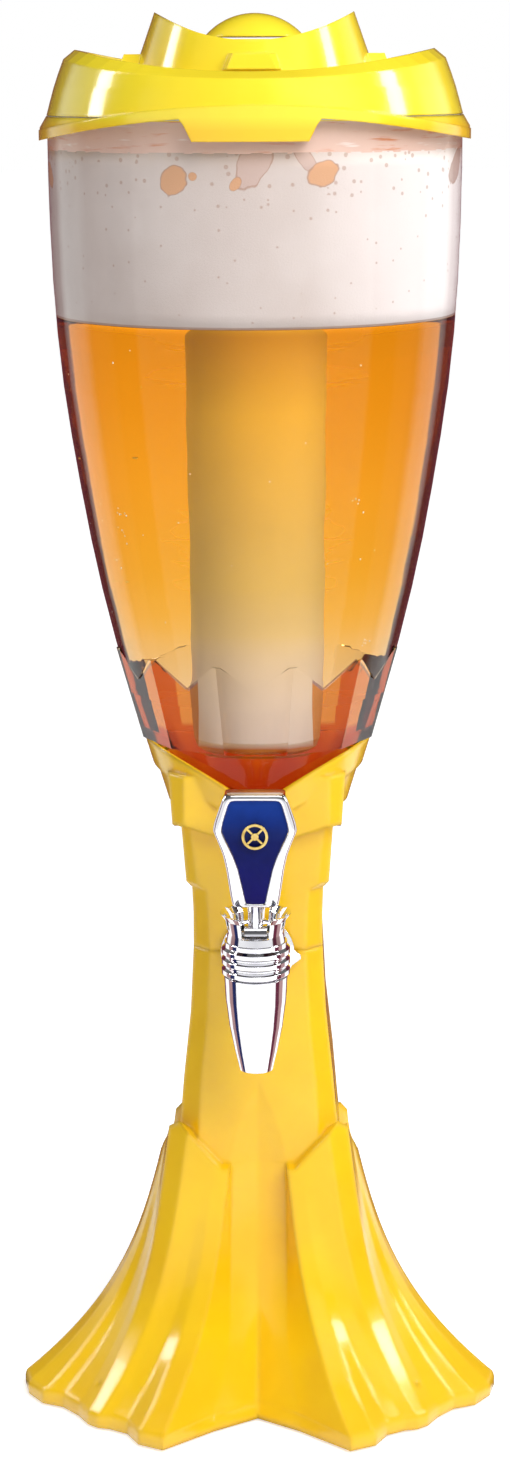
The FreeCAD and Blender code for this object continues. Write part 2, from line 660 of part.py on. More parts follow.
def dip_tool(drop):
    """Everything above the collar's dipped edge, lowered by drop."""
    reach = FAR + 20.0
    half = COLLAR_EDGE_HALF
    z_edge = COLLAR_TOP_Z - drop
    z_mid = z_edge - COLLAR_DIP_MID
    z_low = z_edge - COLLAR_DIP
    y = -reach
    left = Part.Arc(vec(-half, y, z_edge), vec(-COLLAR_DIP_MID_X, y, z_mid), vec(0, y, z_low)).toShape()
    right = Part.Arc(vec(0, y, z_low), vec(COLLAR_DIP_MID_X, y, z_mid), vec(half, y, z_edge)).toShape()
    far_z = z_edge + FAR
    rest = Part.makePolygon([vec(half, y, z_edge), vec(reach, y, z_edge), vec(reach, y, far_z),
                             vec(-reach, y, far_z), vec(-reach, y, z_edge), vec(-half, y, z_edge)])
    return Part.Face(Part.Wire([left, right] + rest.Edges)).extrude(vec(0, 2 * reach, 0))


def tier_dip(z):
    """Everything below a tier's sagging lower edge, cut across both directions."""
    across = saddle(TIER_2[1][1] - 6.2, z, z - TIER_2_DIP, FAR, z - FAR)
    along = across.copy()
    along.rotate(ORIGIN, AXIS_Z, 90)
    return across.common(along)


def cup_seat():
    """Hollow of the stand that the cup's lower part sits in."""
    return revolve(cup_lower_profile(REST_GAP))


def make_stand_upper():
    tier_2 = column(TIER_2).cut(tier_dip(TIER_2_BOTTOM))
    body = fuse(column(UPPER_COLUMN), column(TIER_3), tier_2).cut(dip_tool(2.0))
    core = collar_cone(COLLAR_TOP_R - BAND_PROUD, TIER_2_BOTTOM + 5.0, COLLAR_TOP_Z)
    band = collar_cone(COLLAR_TOP_R, TIER_2_BOTTOM - 12.0, COLLAR_TOP_Z)
    band = band.cut(dip_tool(0.0)).common(dip_tool(COLLAR_BAND))
    body = body.fuse(core.cut(dip_tool(0.0))).fuse(band).cut(cup_seat())
    inside = [(SEAM_Z - 1.0, SEAM_HALF, SEAM_CHAMFER), UPPER_COLUMN[1][:3], (SHELF_Z, SHELF_HALF, 6.2)]
    body = body.cut(column(inside, STAND_WALL))
    neck_hole = cylinder(NECK_R + 2 * REST_GAP, SHELF_Z - 2.0, SHELF_Z + 16.0)
    return body.cut(neck_hole).cut(tap_hole())


# ---------------------------------------------------------------- cup

def cup_lower_profile(grow=0.0):
    """(radius, height) outline of the cup below the collar's lip, closed on the axis.

    With grow it is the stand's seat round it, which runs on above the cup's step.
    """
    step_z = COLLAR_TOP_Z - 0.2
    top_r = COLLAR_TOP_R - COLLAR_LIP - REST_GAP + grow
    low_z = step_z - SEAT_HEIGHT
    low_r = top_r - SEAT_SLOPE * (step_z - low_z)
    shelf = SHELF_Z + SHELF_THICK + REST_GAP - grow
    outline = [(top_r, step_z), (low_r, low_z), (low_r - 4.0, low_z - 7.0), (low_r - 11.0, shelf), (0, shelf)]
    if grow:
        return [(0, step_z + 4.0), (top_r + 1.2, step_z + 4.0)] + outline
    return [(0, step_z)] + outline


def make_cup():
    base_z = CUP_BASE_Z
    wall = bowed([(base_z, CUP_LOWER_TOP_R)] + CUP_WALL_STATIONS, CUP_WALL_RINGS)
    outer = revolve([(0, base_z)] + wall + [(0, CUP_RIM_Z)])
    faceted = facet_zone()
    outer = outer.cut(faceted).fuse(facet_frustum().common(faceted))
    lower_profile = cup_lower_profile()
    lower = revolve(lower_profile)
    link = cylinder(COLLAR_TOP_R - COLLAR_LIP - REST_GAP, lower_profile[0][1] - 0.01, base_z)
    neck = cylinder(NECK_R, NECK_BOTTOM_Z, CUP_FLOOR_Z)
    outer = outer.fuse(lower).fuse(link).fuse(neck)
    bowl_r = CUP_LOWER_TOP_R - CUP_WALL - BOWL_STEP
    inner_wall = [(base_z, bowl_r)] + [(z, r - CUP_WALL) for z, r in CUP_WALL_STATIONS]
    (low_r, low_z), (foot_r, foot_z) = lower_profile[2:4]
    bowl = [(NECK_BORE_R, CUP_FLOOR_Z), (foot_r - CUP_WALL, foot_z + 1.0), (low_r - CUP_WALL, low_z)]
    inner = revolve(bowl + bowed(inner_wall, CUP_WALL_RINGS) + [(0, CUP_RIM_Z), (0, CUP_FLOOR_Z)])
    bore = cylinder(NECK_BORE_R, NECK_BOTTOM_Z - 1.0, CUP_FLOOR_Z + 1.0)
    return outer.cut(inner.fuse(bore)).removeSplitter()


def facet_zone():
    """Ring below the zigzag line where the wall is faceted instead of round."""
    zone = cylinder(FACET_PEAK_R + 13.4, CUP_BASE_Z, FACET_PEAK_Z)
    half_step = math.radians(180.0 / FACET_COUNT)
    reach = FACET_PEAK_R + 18.4
    half = reach * math.tan(half_step)
    inner_z = FACET_PEAK_Z + 5.0
    outer_z = FACET_PEAK_Z + 0.01
    inner_end = polygon([(-0.01, 0.0, inner_z), (0.01, 0.0, inner_z), (0.0, 0.0, FACET_VALLEY_Z)])
    outer_end = polygon([(-half, -reach, outer_z), (half, -reach, outer_z), (0.0, -reach, FACET_VALLEY_Z)])
    notch = Part.makeLoft([inner_end, outer_end], True, True)
    for cut in around(notch, FACET_COUNT):
        zone = zone.cut(cut)
    return zone


def facet_frustum():
    """Twelve-sided frustum whose corners stand at the facet peaks."""
    cos_half = math.cos(math.pi / FACET_COUNT)
    wires = []
    for z, flat_r in ((CUP_BASE_Z, CUP_LOWER_TOP_R - FACET_SINK), (FACET_PEAK_Z, FACET_PEAK_R)):
        corner_r = flat_r / cos_half
        points = []
        for index in range(FACET_COUNT):
            angle = math.pi * (2 * index + 1) / FACET_COUNT
            points.append((corner_r * math.sin(angle), -corner_r * math.cos(angle), z))
        wires.append(polygon(points))
    return Part.makeLoft(wires, True, True)


# ---------------------------------------------------------------- neck chamber

CHAMBER_R = NECK_R + SLIP_GAP + CHAMBER_WALL
CHAMBER_TOP_Z = SHELF_Z - REST_GAP
GASKET_TOP_Z = NECK_BOTTOM_Z - PRESS_GAP * 2


def make_neck_chamber():
    ledge_z = GASKET_TOP_Z - GASKET_THICK - PRESS_GAP
    outer = fuse(cylinder(CHAMBER_R, CHAMBER_BOTTOM_Z, CHAMBER_TOP_Z),
                 cylinder(CHAMBER_FLANGE_R, CHAMBER_TOP_Z - CHAMBER_FLANGE_THICK, CHAMBER_TOP_Z),
                 cylinder_y(TAP_SHANK_R + SLIP_GAP + CHAMBER_WALL, -SOCKET_END_Y, 0.0))
    hollow = fuse(cylinder(NECK_R + SLIP_GAP, ledge_z, CHAMBER_TOP_Z + 1.0),
                  cylinder(NECK_BORE_R, CHAMBER_BOTTOM_Z + CHAMBER_WALL, ledge_z + 1.0))
    socket = cylinder_y(TAP_SHANK_R + SLIP_GAP, -SOCKET_END_Y - 1.0, -NECK_BORE_R + 1.5)
    return outer.cut(hollow).cut(socket)


def make_neck_gasket():
    return ring(NECK_R - 0.1, NECK_BORE_R + 0.2, GASKET_TOP_Z - GASKET_THICK, GASKET_TOP_Z)


# ---------------------------------------------------------------- lid

def bell_wall():
    """(radius, height) points of the lid's bell-shaped wall, from its rim band up to the top."""
    low_z = LID_EDGE_Z + LID_BAND
    stations = [(low_z, LID_BAND_R - LID_BAND_PROUD)]
    stations += [(low_z + share * (LID_TOP_Z - low_z), r) for share, r in LID_BELL]
    return bowed(stations + [(LID_TOP_Z + 1.0, LID_BELL_TOP_R)], 7)


def lid_tongue():
    """Tongue that hangs from the lid's front edge over the cup's rim, flush with the band."""
    top = LID_EDGE_Z + LID_EDGE_RISE + LID_BAND * 0.5
    bend = top - LID_BAND - 0.5
    half = LID_TAB_HALF
    right = [(half, LID_TAB_Z), (half + LID_TAB_CORNER, bend), (LID_TAB_TOP_HALF, top)]
    outline = [(-x, z) for x, z in reversed(right)] + right
    slab = prism([(x, -2 * FAR, z) for x, z in outline], vec(0, 2 * FAR, 0))
    return slab.common(ring(LID_BAND_R, CUP_RIM_R + REST_GAP, LID_TAB_Z - 1.0, top + 1.0))


def rim_slope():
    """Everything below the lid's rim, which falls outwards, more at the sides than in front."""
    outer_r = LID_BAND_R + 1.0
    middle_z = LID_TOP_Z - LID_TOP_DIP
    sag_r = (LID_TOP_R ** 2 + LID_TOP_DIP ** 2) / (2 * LID_TOP_DIP)
    low, outer, inner, high = [], [], [], []
    for index in range(RIM_SIDES):
        angle = 2 * math.pi * (index + 0.5) / RIM_SIDES
        across, along = math.cos(angle), math.sin(angle)
        slope = RIM_SLOPE_FRONT + (RIM_SLOPE_SIDE - RIM_SLOPE_FRONT) * across ** 2
        sag_in = sag_r - math.sqrt(sag_r ** 2 - (LID_TOP_R * across) ** 2)
        edge_z = middle_z + sag_in - slope * (outer_r - LID_TOP_R)
        outer_x, outer_y = outer_r * across, outer_r * along
        inner_x, inner_y = LID_TOP_R * across, LID_TOP_R * along
        low.append((outer_x, outer_y, LID_EDGE_Z - FAR))
        outer.append((outer_x, outer_y, edge_z))
        inner.append((inner_x, inner_y, middle_z + sag_in))
        high.append((inner_x, inner_y, LID_TOP_Z + FAR))
    return Part.makeLoft([polygon(points) for points in (low, outer, inner, high)], True, True)


def make_lid_shell():
    rim_in = LID_TOP_R - LID_RIM_WIDTH
    low = LID_EDGE_Z - 1.0
    bell = revolve([(0, low), (LID_BAND_R - LID_BAND_PROUD, low)] + bell_wall() + [(0, LID_TOP_Z + 1.0)])
    lower = saddle(LID_BAND_R, LID_EDGE_Z, LID_EDGE_Z + LID_EDGE_RISE, 2 * FAR, LID_EDGE_Z - FAR)
    band = cylinder(LID_BAND_R, low, LID_EDGE_Z + LID_EDGE_RISE + LID_BAND)
    band_top = lower.copy()
    band_top.translate(vec(0, 0, LID_BAND - 1.0))
    body = bell.fuse(band.common(band_top)).cut(lower).fuse(lid_tongue())
    body = body.cut(saddle(LID_TOP_R, LID_TOP_Z, LID_TOP_Z - LID_TOP_DIP, 2 * FAR, LID_TOP_Z + FAR))
    body = body.common(rim_slope())
    seat_z = CUP_RIM_Z + SEAL_THICK
    mouth = cylinder(CUP_RIM_R + REST_GAP, LID_EDGE_Z - 5.0, seat_z)
    plug_in = SPIGOT_R - LID_WALL
    ceiling = LID_DECK_Z - LID_WALL
    upper_hollow = revolve([(0, seat_z - 1.0), (plug_in, seat_z - 1.0), (plug_in, CUP_RIM_Z + SPIGOT_STEP),
                            (rim_in + 3.0, ceiling), (0, ceiling)])
    recess = cylinder(rim_in, LID_DECK_Z, LID_TOP_Z + 5.0)
    plug = ring(SPIGOT_R, plug_in, CUP_RIM_Z - SPIGOT_DEPTH, seat_z + 1.0)
    neck = cylinder(LID_NECK_R, ceiling, LID_NECK_Z)
    hole = cylinder(LID_HOLE_R + SLIP_GAP, ceiling - 1.0, LID_NECK_Z + 1.0)
    body = body.cut(mouth).cut(upper_hollow).cut(recess)
    return body.fuse(plug).fuse(neck).cut(hole).removeSplitter()


def make_lid_gasket():
    return ring(CUP_RIM_R - REST_GAP, SPIGOT_R + REST_GAP, CUP_RIM_Z, CUP_RIM_Z + SEAL_THICK)


# ---------------------------------------------------------------- ice tube and crown cap

def make_tube_seal():
    return ring(LID_NECK_R - 0.4, LID_HOLE_R + 0.6, LID_NECK_Z, TUBE_SEAT_Z)


def make_ice_tube():
    foot = TUBE_BOTTOM_Z
    corner = TUBE_ROUND * 0.3
    round_r = TUBE_BOTTOM_R - TUBE_ROUND
    outer = revolve([(0, foot), (round_r, foot), (TUBE_BOTTOM_R - corner, foot + corner),
                     (TUBE_BOTTOM_R, foot + TUBE_ROUND), (TUBE_TOP_R, TUBE_SEAT_Z), (LID_NECK_R, TUBE_SEAT_Z),
                     (LID_NECK_R, TUBE_FLANGE_TOP), (THREAD_R, TUBE_FLANGE_TOP), (THREAD_R, TUBE_THREAD_Z),
                     (0, TUBE_THREAD_Z)])
    floor_z = foot + TUBE_WALL
    end_z = TUBE_THREAD_Z + 1.0
    bore_r = TUBE_TOP_R - TUBE_WALL
    inner = revolve([(0, floor_z), (round_r, floor_z), (TUBE_BOTTOM_R - TUBE_WALL, foot + TUBE_ROUND),
                     (bore_r, TUBE_SEAT_Z), (bore_r, end_z), (0, end_z)])
    return outer.cut(inner)


def crown_tongues():
    """Four short tongues with sloping sides round the crown's foot that fingers turn it by."""
    low = LID_DECK_Z + TONGUE_RISE
    high = low + TONGUE_THICK
    root_y = CROWN_WALL + 3.0 - CROWN_FOOT_R
    root_half = TONGUE_HALF + TONGUE_BEVEL
    lower = polygon([(-TONGUE_HALF, -TONGUE_REACH, low), (TONGUE_HALF, -TONGUE_REACH, low),
                     (root_half, root_y, low), (-root_half, root_y, low)])
    half = TONGUE_HALF - TONGUE_BEVEL
    reach = TONGUE_REACH - TONGUE_BEVEL
    upper = polygon([(-half, -reach, high), (half, -reach, high),
                     (root_half - TONGUE_BEVEL, root_y, high), (TONGUE_BEVEL - root_half, root_y, high)])
    return around(Part.makeLoft([lower, upper], True, True), 4)


def make_crown_cap():
    foot_z = LID_DECK_Z + REST_GAP
    fall = (CROWN_FOOT_R - CROWN_TOP_R) / (CROWN_TOP_Z - foot_z)
    wall = revolve([(0, foot_z), (CROWN_FOOT_R, foot_z), (CROWN_TOP_R, CROWN_TOP_Z), (0, CROWN_TOP_Z)])
    wall = wall.cut(saddle(CROWN_TOP_R, CROWN_TOP_Z, CROWN_TOP_Z - CROWN_DIP, FAR, CROWN_TOP_Z + FAR))
    bowl_r = CROWN_TOP_R - CROWN_WALL
    above = CROWN_TOP_Z + 1.0
    bowl = revolve([(0, CROWN_FLOOR_Z), (bowl_r + 1.0, CROWN_FLOOR_Z), (bowl_r, above), (0, above)])
    floor_low = CROWN_FLOOR_Z - CROWN_FLOOR
    under_r = CROWN_FOOT_R - LID_WALL
    under_top_r = under_r - fall * (floor_low - foot_z)
    under = revolve([(0, foot_z - 1.0), (under_r, foot_z - 1.0), (under_top_r, floor_low), (0, floor_low)])
    ball_r = (DOME_R ** 2 + DOME_RISE ** 2) / (2 * DOME_RISE)
    ball = Part.makeSphere(ball_r, vec(0, 0, CROWN_FLOOR_Z + DOME_RISE - ball_r))
    dome = ball.common(cylinder(DOME_R + 1.0, CROWN_FLOOR_Z - 0.5, CROWN_FLOOR_Z + DOME_RISE + 1.0))
    bore_r = THREAD_R + RUN_GAP
    skirt = ring(bore_r + 2.2, bore_r, TUBE_FLANGE_TOP + REST_GAP, floor_low + 0.5)
    cap = wall.cut(bowl).cut(under).fuse(dome).fuse(skirt)
    inside = cylinder(CROWN_FOOT_R - 4.0, foot_z, CROWN_TOP_Z)
    for tongue in crown_tongues():
        cap = cap.fuse(tongue.cut(inside))
    return cap.removeSplitter()


# ---------------------------------------------------------------- tap

TAP_AXIS = vec(0, TAP_Y, 0)
FLANGE_BACK_Y = COLUMN_FACE_Y - WASHER_THICK - PRESS_GAP
SEAT_Y = TAP_Y + BARREL_BORE_R + INLET_LENGTH
SEAT_BACK_Y = SEAT_Y + VALVE_SEAT_THICK


def pivot_bar(radius, half):
    """Cylinder along X through the handle's pivot."""
    return Part.makeCylinder(radius, 2 * half, vec(-half, TAP_Y, PIVOT_Z), AXIS_X)


def make_tap_body():
    thread_z = BONNET_BOTTOM_Z - REST_GAP
    profile = [(0, NOZZLE_END_Z), (NOZZLE_R, NOZZLE_END_Z)]
    profile += [(r, SEAM_Z - depth) for depth, r in BARREL_STATIONS]
    profile += [(BARREL_TOP_R, thread_z), (BARREL_THREAD_R, thread_z), (BARREL_THREAD_R, BONNET_TOP_Z),
                (0, BONNET_TOP_Z)]
    shank = cylinder_y(TAP_SHANK_R, TAP_Y, -NECK_BORE_R - 2 * REST_GAP)
    shoulder = cylinder_y(SHOULDER_R, TAP_Y, FLANGE_BACK_Y - FLANGE_THICK - PRESS_GAP)
    body = revolve(profile, TAP_AXIS).fuse(shoulder).fuse(shank)
    low = NOZZLE_END_Z - 1.0
    high = BONNET_TOP_Z + 1.0
    funnel_z = NOZZLE_END_Z + NOZZLE_BORE_LENGTH
    hollow = revolve([(0, low), (NOZZLE_BORE_R, low), (NOZZLE_BORE_R, funnel_z),
                      (BARREL_BORE_R, funnel_z + NOZZLE_FUNNEL), (BARREL_BORE_R, high), (0, high)], TAP_AXIS)
    inlet = cylinder_y(VALVE_SEAT_R, TAP_Y, SEAT_BACK_Y + 1.0)
    bore = cylinder_y(SHANK_BORE_R, SEAT_BACK_Y, 0.0)
    return body.cut(hollow).cut(inlet).cut(bore).removeSplitter()


def make_bonnet():
    """Grooved ring over the top of the barrel, notched behind for the shank; carries the guard."""
    pitch = (BONNET_TOP_Z - BONNET_BOTTOM_Z) / BONNET_RINGS
    inner = BARREL_THREAD_R + SLIP_GAP
    groove_r = BONNET_R - BONNET_GROOVE
    profile = [(inner, BONNET_BOTTOM_Z)]
    for index in range(BONNET_RINGS):
        z = BONNET_BOTTOM_Z + index * pitch
        profile += [(groove_r, z), (BONNET_R, z + pitch * 0.25), (BONNET_R, z + pitch * 0.65),
                    (groove_r, z + pitch * 0.9)]
    collar_z = BONNET_TOP_Z + BONNET_LIP
    profile += [(groove_r, collar_z), (BARREL_BORE_R, collar_z), (BARREL_BORE_R, BONNET_TOP_Z + REST_GAP),
                (inner, BONNET_TOP_Z + REST_GAP)]
    notch = cylinder_y(SHOULDER_R + SLIP_GAP, TAP_Y + 3.0, 0.0)
    return revolve(profile, TAP_AXIS).cut(notch)


def make_guard():
    """Flared crown of prongs round the lever, open in front so that the lever can tilt."""
    low = GUARD_LOW_Z
    throat_z = low + GUARD_THROAT
    bend_z = low + GUARD_BEND
    bend_r = GUARD_WAIST_R + 1.0
    outer = revolve([(0, low), (GUARD_WAIST_R + 0.6, low), (GUARD_WAIST_R, throat_z), (bend_r, bend_z),
                     (GUARD_TOP_R, GUARD_TOP_Z), (0, GUARD_TOP_Z)], TAP_AXIS)
    w = GUARD_WALL
    above = GUARD_TOP_Z + 0.1
    inner = revolve([(0, low - 1.0), (GUARD_WAIST_R - w, low - 1.0), (GUARD_WAIST_R - w, throat_z),
                     (bend_r - w, bend_z), (GUARD_TOP_R - w + 0.6, above), (0, above)], TAP_AXIS)
    guard = outer.cut(inner)
    slot = box(-PRONG_GAP / 2, PRONG_GAP / 2, -2 * GUARD_TOP_R, 0.0, throat_z + 2.0, GUARD_TOP_Z + 5.0)
    slot.translate(TAP_AXIS)
    for cut in around(slot, GUARD_PRONGS, 180.0 / GUARD_PRONGS, TAP_AXIS):
        guard = guard.cut(cut)
    half = GUARD_FRONT_HALF
    front = box(-half, half, TAP_Y - 2 * GUARD_TOP_R, TAP_Y, throat_z - 0.5, GUARD_TOP_Z + 5.0)
    return guard.cut(front).cut(pivot_bar(PIVOT_PIN_R, GUARD_TOP_R + 1.0))


def make_pivot_pin():
    return pivot_bar(PIVOT_PIN_R, GUARD_WAIST_R - REST_GAP)


def make_lever():
    """Stem from the handle through the pivot down to the tip that works the plunger."""
    stem_top = HANDLE_FOOT_Z + STEM_IN_HANDLE
    hub = pivot_bar(HUB_R, HUB_HALF)
    stem = cylinder(LEVER_R, PIVOT_Z, stem_top, 0.0, TAP_Y)
    tail = cylinder(LEVER_TAIL_R, SEAM_Z, PIVOT_Z, 0.0, TAP_Y)
    tip = Part.makeSphere(LEVER_TIP_R, vec(0, TAP_Y, SEAM_Z))
    return fuse(hub, stem, tail, tip).cut(pivot_bar(PIVOT_PIN_R + RUN_GAP, HUB_HALF + 1.0))


def make_plunger():
    """Slotted head round the lever's tip and a rod to the valve seal."""
    slot_half = LEVER_TIP_R + TIP_GAP
    head_half = slot_half + 1.3
    head = cylinder_y(PLUNGER_R, TAP_Y - head_half, TAP_Y + head_half)
    slot_low = SEAM_Z - LEVER_TIP_R - 0.4
    slot = box(-slot_half, slot_half, TAP_Y - slot_half, TAP_Y + slot_half, slot_low, SEAM_Z + 2 * PLUNGER_R)
    rod = cylinder_y(ROD_R, TAP_Y + head_half - 0.5, SEAT_BACK_Y + SEAL_LENGTH + 0.8)
    return head.cut(slot).fuse(rod).removeSplitter()


def make_valve_seal():
    return ring_y(SHANK_BORE_R - 0.5, ROD_R, SEAT_BACK_Y, SEAT_BACK_Y + SEAL_LENGTH)


def make_flange():
    """Round plate between tap and column, with a nib at its side that stops it turning."""
    back = FLANGE_BACK_Y
    front = back - FLANGE_THICK
    plate = Part.makeCone(FLANGE_R - 2.0, FLANGE_R, FLANGE_BEVEL, vec(0, front, SEAM_Z), AXIS_Y)
    plate = plate.fuse(cylinder_y(FLANGE_R, front + FLANGE_BEVEL, back))
    outline = [(-1.0, -5.4), (NIB_REACH, -2.6), (NIB_REACH, -1.2), (-1.0, 2.0)]
    nib = prism([(FLANGE_R + x, front + 1.0, SEAM_Z + z) for x, z in outline], vec(0, FLANGE_THICK - 1.0, 0))
    return plate.fuse(nib).cut(cylinder_y(TAP_SHANK_R + SLIP_GAP, -FAR, 0.0)).removeSplitter()


def make_outer_washer():
    return ring_y(WASHER_R, TAP_SHANK_R + SLIP_GAP, COLUMN_FACE_Y - WASHER_THICK, COLUMN_FACE_Y - 0.02)


def make_shank_nut():
    front = STAND_WALL - SEAM_HALF + PRESS_GAP
    points = []
    for index in range(6):
        angle = math.pi / 3 * index
        points.append((NUT_R * math.sin(angle), front, SEAM_Z + NUT_R * math.cos(angle)))
    return prism(points, vec(0, NUT_THICK, 0)).cut(cylinder_y(TAP_SHANK_R + RUN_GAP, -FAR, 0.0))


# ---------------------------------------------------------------- handle

def handle_outline(inset, y):
    """Front outline of the handle as a smooth closed wire in the plane at y."""
    right = []
    for z, half, _ in HANDLE_STATIONS:
        right.append(vec(max(half - inset, 1.0), y, z))
    low = HANDLE_STATIONS[0][0] + inset
    high = HANDLE_STATIONS[-1][0] - inset
    right = [p for p in right if low + 0.5 < p.z < high - 0.5]
    first = vec(max(HANDLE_STATIONS[0][1] - inset, 1.0), y, low)
    last = vec(max(HANDLE_STATIONS[-1][1] - inset * 0.4, 1.0), y, high)
    right = [first] + right + [last]
    lower = Part.BSplineCurve()
    peak = max(range(len(right)), key=lambda i: right[i].x)
    lower.interpolate(right[:peak + 1])
    upper = Part.makePolygon(right[peak:])
    edges = [lower.toShape()] + upper.Edges
    mirror = []
    for edge in edges:
        copy = edge.mirror(ORIGIN, AXIS_X)
        mirror.append(copy)
    bottom = Part.makeLine(vec(-first.x, y, first.z), first)
    top = Part.makeLine(last, vec(-last.x, y, last.z))
    return Part.Wire(Part.__sortEdges__([bottom] + edges + [top] + mirror))


def handle_side():
    """Side outline: thick in the middle, slimmer towards both ends."""
    front = [(TAP_Y - depth, z) for z, _, depth in HANDLE_STATIONS]
    back = [(TAP_Y + depth, z) for z, _, depth in reversed(HANDLE_STATIONS)]
    return prism([(-FAR, y, z) for y, z in front + back], vec(2 * FAR, 0, 0))


def behind(shape, depth):
    """A copy of the shape moved back by depth."""
    moved = shape.copy()
    moved.translate(vec(0, depth, 0))
    return moved


def make_handle_frame():
    side = handle_side()
    body = Part.Face(handle_outline(0.0, TAP_Y - 20.0)).extrude(vec(0, 40.0, 0)).common(side)
    pocket = Part.Face(handle_outline(INLAY_FRAME, TAP_Y - 40.0)).extrude(vec(0, 40.0, 0))
    body = body.cut(pocket.cut(behind(side, INLAY_DEPTH)))
    socket_top = HANDLE_FOOT_Z + STEM_IN_HANDLE + REST_GAP
    socket = cylinder(LEVER_R + RUN_GAP, HANDLE_FOOT_Z - 1.0, socket_top, 0.0, TAP_Y)
    return body.cut(socket).removeSplitter()


def make_handle_inlay():
    side = handle_side()
    plate = Part.Face(handle_outline(INLAY_FRAME + 0.1, TAP_Y - 40.0)).extrude(vec(0, 40.0, 0))
    return plate.common(behind(side, INLAY_SINK)).cut(behind(side, INLAY_DEPTH - 0.02))


def make_emblem():
    """Plain raised ring with a small four-spoked star, a generic ornament."""
    face_y = TAP_Y - HANDLE_STATIONS[5][2] + INLAY_SINK
    inside = face_y + INLAY_DEPTH - INLAY_SINK - 0.2
    rim = ring_y(EMBLEM_R, EMBLEM_R - EMBLEM_RING, face_y - EMBLEM_THICK, inside, EMBLEM_Z)
    centre = cylinder_y(EMBLEM_HUB_R, face_y - EMBLEM_THICK, inside, EMBLEM_Z)
    spokes = []
    for index in range(4):
        spoke = box(-SPOKE_HALF, SPOKE_HALF, face_y - EMBLEM_THICK * 0.6, inside, 0.0, EMBLEM_R - 0.5)
        spoke.rotate(ORIGIN, AXIS_Y, 45.0 + index * 90.0)
        spoke.translate(vec(0, 0, EMBLEM_Z))
        spokes.append(spoke)
    return fuse(rim, centre, *spokes).cut(make_handle_inlay())


NODES = {
    "foot_shell": make_foot_shell,
    "stand_upper": make_stand_upper,
    "base_plate": make_base_plate,
    "base_screws": make_base_screws,
    "rubber_feet": make_rubber_feet,
    "cup": make_cup,
    "neck_chamber": make_neck_chamber,
    "neck_gasket": make_neck_gasket,
    "lid_shell": make_lid_shell,
    "lid_gasket": make_lid_gasket,
    "tube_seal": make_tube_seal,
    "ice_tube": make_ice_tube,
    "crown_cap": make_crown_cap,
    "tap_body": make_tap_body,
    "tap_bonnet": make_bonnet,
    "tap_guard": make_guard,
    "tap_flange": make_flange,
    "outer_washer": make_outer_washer,
    "shank_nut": make_shank_nut,
    "pivot_pin": make_pivot_pin,
    "lever": make_lever,
    "plunger": make_plunger,
    "valve_seal": make_valve_seal,
    "handle_frame": make_handle_frame,
    "handle_inlay": make_handle_inlay,
    "handle_emblem": make_emblem,
}


def main():
    os.makedirs("parts", exist_ok=True)
    for name, make in NODES.items():
        shape = make()
        print(name, shape.isValid(), len(shape.Solids), round(shape.Volume / 1000.0, 2))
        shape.exportStep("parts/" + name + ".step")


main()
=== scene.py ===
import math
import random

import bmesh
import bpy
from mathutils import Matrix, Vector
from mathutils.bvhtree import BVHTree


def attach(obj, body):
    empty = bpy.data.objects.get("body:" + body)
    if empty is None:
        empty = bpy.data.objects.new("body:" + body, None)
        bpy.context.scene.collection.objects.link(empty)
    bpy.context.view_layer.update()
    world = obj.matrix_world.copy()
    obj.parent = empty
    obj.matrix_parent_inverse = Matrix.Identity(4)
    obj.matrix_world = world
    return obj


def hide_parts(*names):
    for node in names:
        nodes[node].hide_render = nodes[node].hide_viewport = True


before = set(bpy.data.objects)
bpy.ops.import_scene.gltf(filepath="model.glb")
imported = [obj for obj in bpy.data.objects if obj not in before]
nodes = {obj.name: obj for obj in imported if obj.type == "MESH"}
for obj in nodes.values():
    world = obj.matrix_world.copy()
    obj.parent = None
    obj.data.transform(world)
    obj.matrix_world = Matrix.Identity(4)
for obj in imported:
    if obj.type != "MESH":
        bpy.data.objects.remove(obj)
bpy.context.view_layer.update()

# Metres, with Z up from the table and the tap pointing along -Y, as in the CAD frame.

# ---------------------------------------------------------------- camera

TARGET_AZIMUTH = math.radians(1.2)
CAMERA_PITCH = math.radians(13.1)
CAMERA_ROLL = math.radians(-0.3)
CAMERA_DISTANCE = 1.146   # from the tower's axis
CAMERA_HEIGHT = 0.538
LENS_MM = 70.0
SENSOR_MM = 36.0
FAR_CLIP = 100.0
IMAGE_HEIGHT = 1472
SHIFT_PIXELS = -3


def make_camera():
    data = bpy.data.cameras.new("camera")
    data.lens = LENS_MM
    data.sensor_width = SENSOR_MM
    data.sensor_fit = "AUTO"
    data.shift_x = SHIFT_PIXELS / IMAGE_HEIGHT
    data.clip_end = FAR_CLIP
    camera = bpy.data.objects.new("camera", data)
    bpy.context.scene.collection.objects.link(camera)
    a, p = TARGET_AZIMUTH, CAMERA_PITCH
    camera.location = (CAMERA_DISTANCE * math.sin(a), -CAMERA_DISTANCE * math.cos(a), CAMERA_HEIGHT)
    look = Vector((-math.sin(a) * math.cos(p), math.cos(a) * math.cos(p), -math.sin(p)))
    camera.rotation_euler = look.to_track_quat("-Z", "Y").to_euler()
    camera.rotation_euler.rotate_axis("Z", CAMERA_ROLL)
    bpy.context.scene.camera = camera


# ---------------------------------------------------------------- lamps

LAMP_AIM = Vector((0, 0, 0.3))
# azimuth and elevation seen from the object, distance, width, height, radiance, what it lights
LAMPS = [
    (38, 42, 1.6, 1.0, 1.0, 6.8, "matt"),
    (88, 34, 1.5, 0.26, 0.9, 12.0, "gloss"),
    (-98, 34, 1.5, 0.26, 0.9, 11.0, "gloss"),
    (10, 66, 1.5, 0.5, 0.4, 2.5, "gloss"),
]


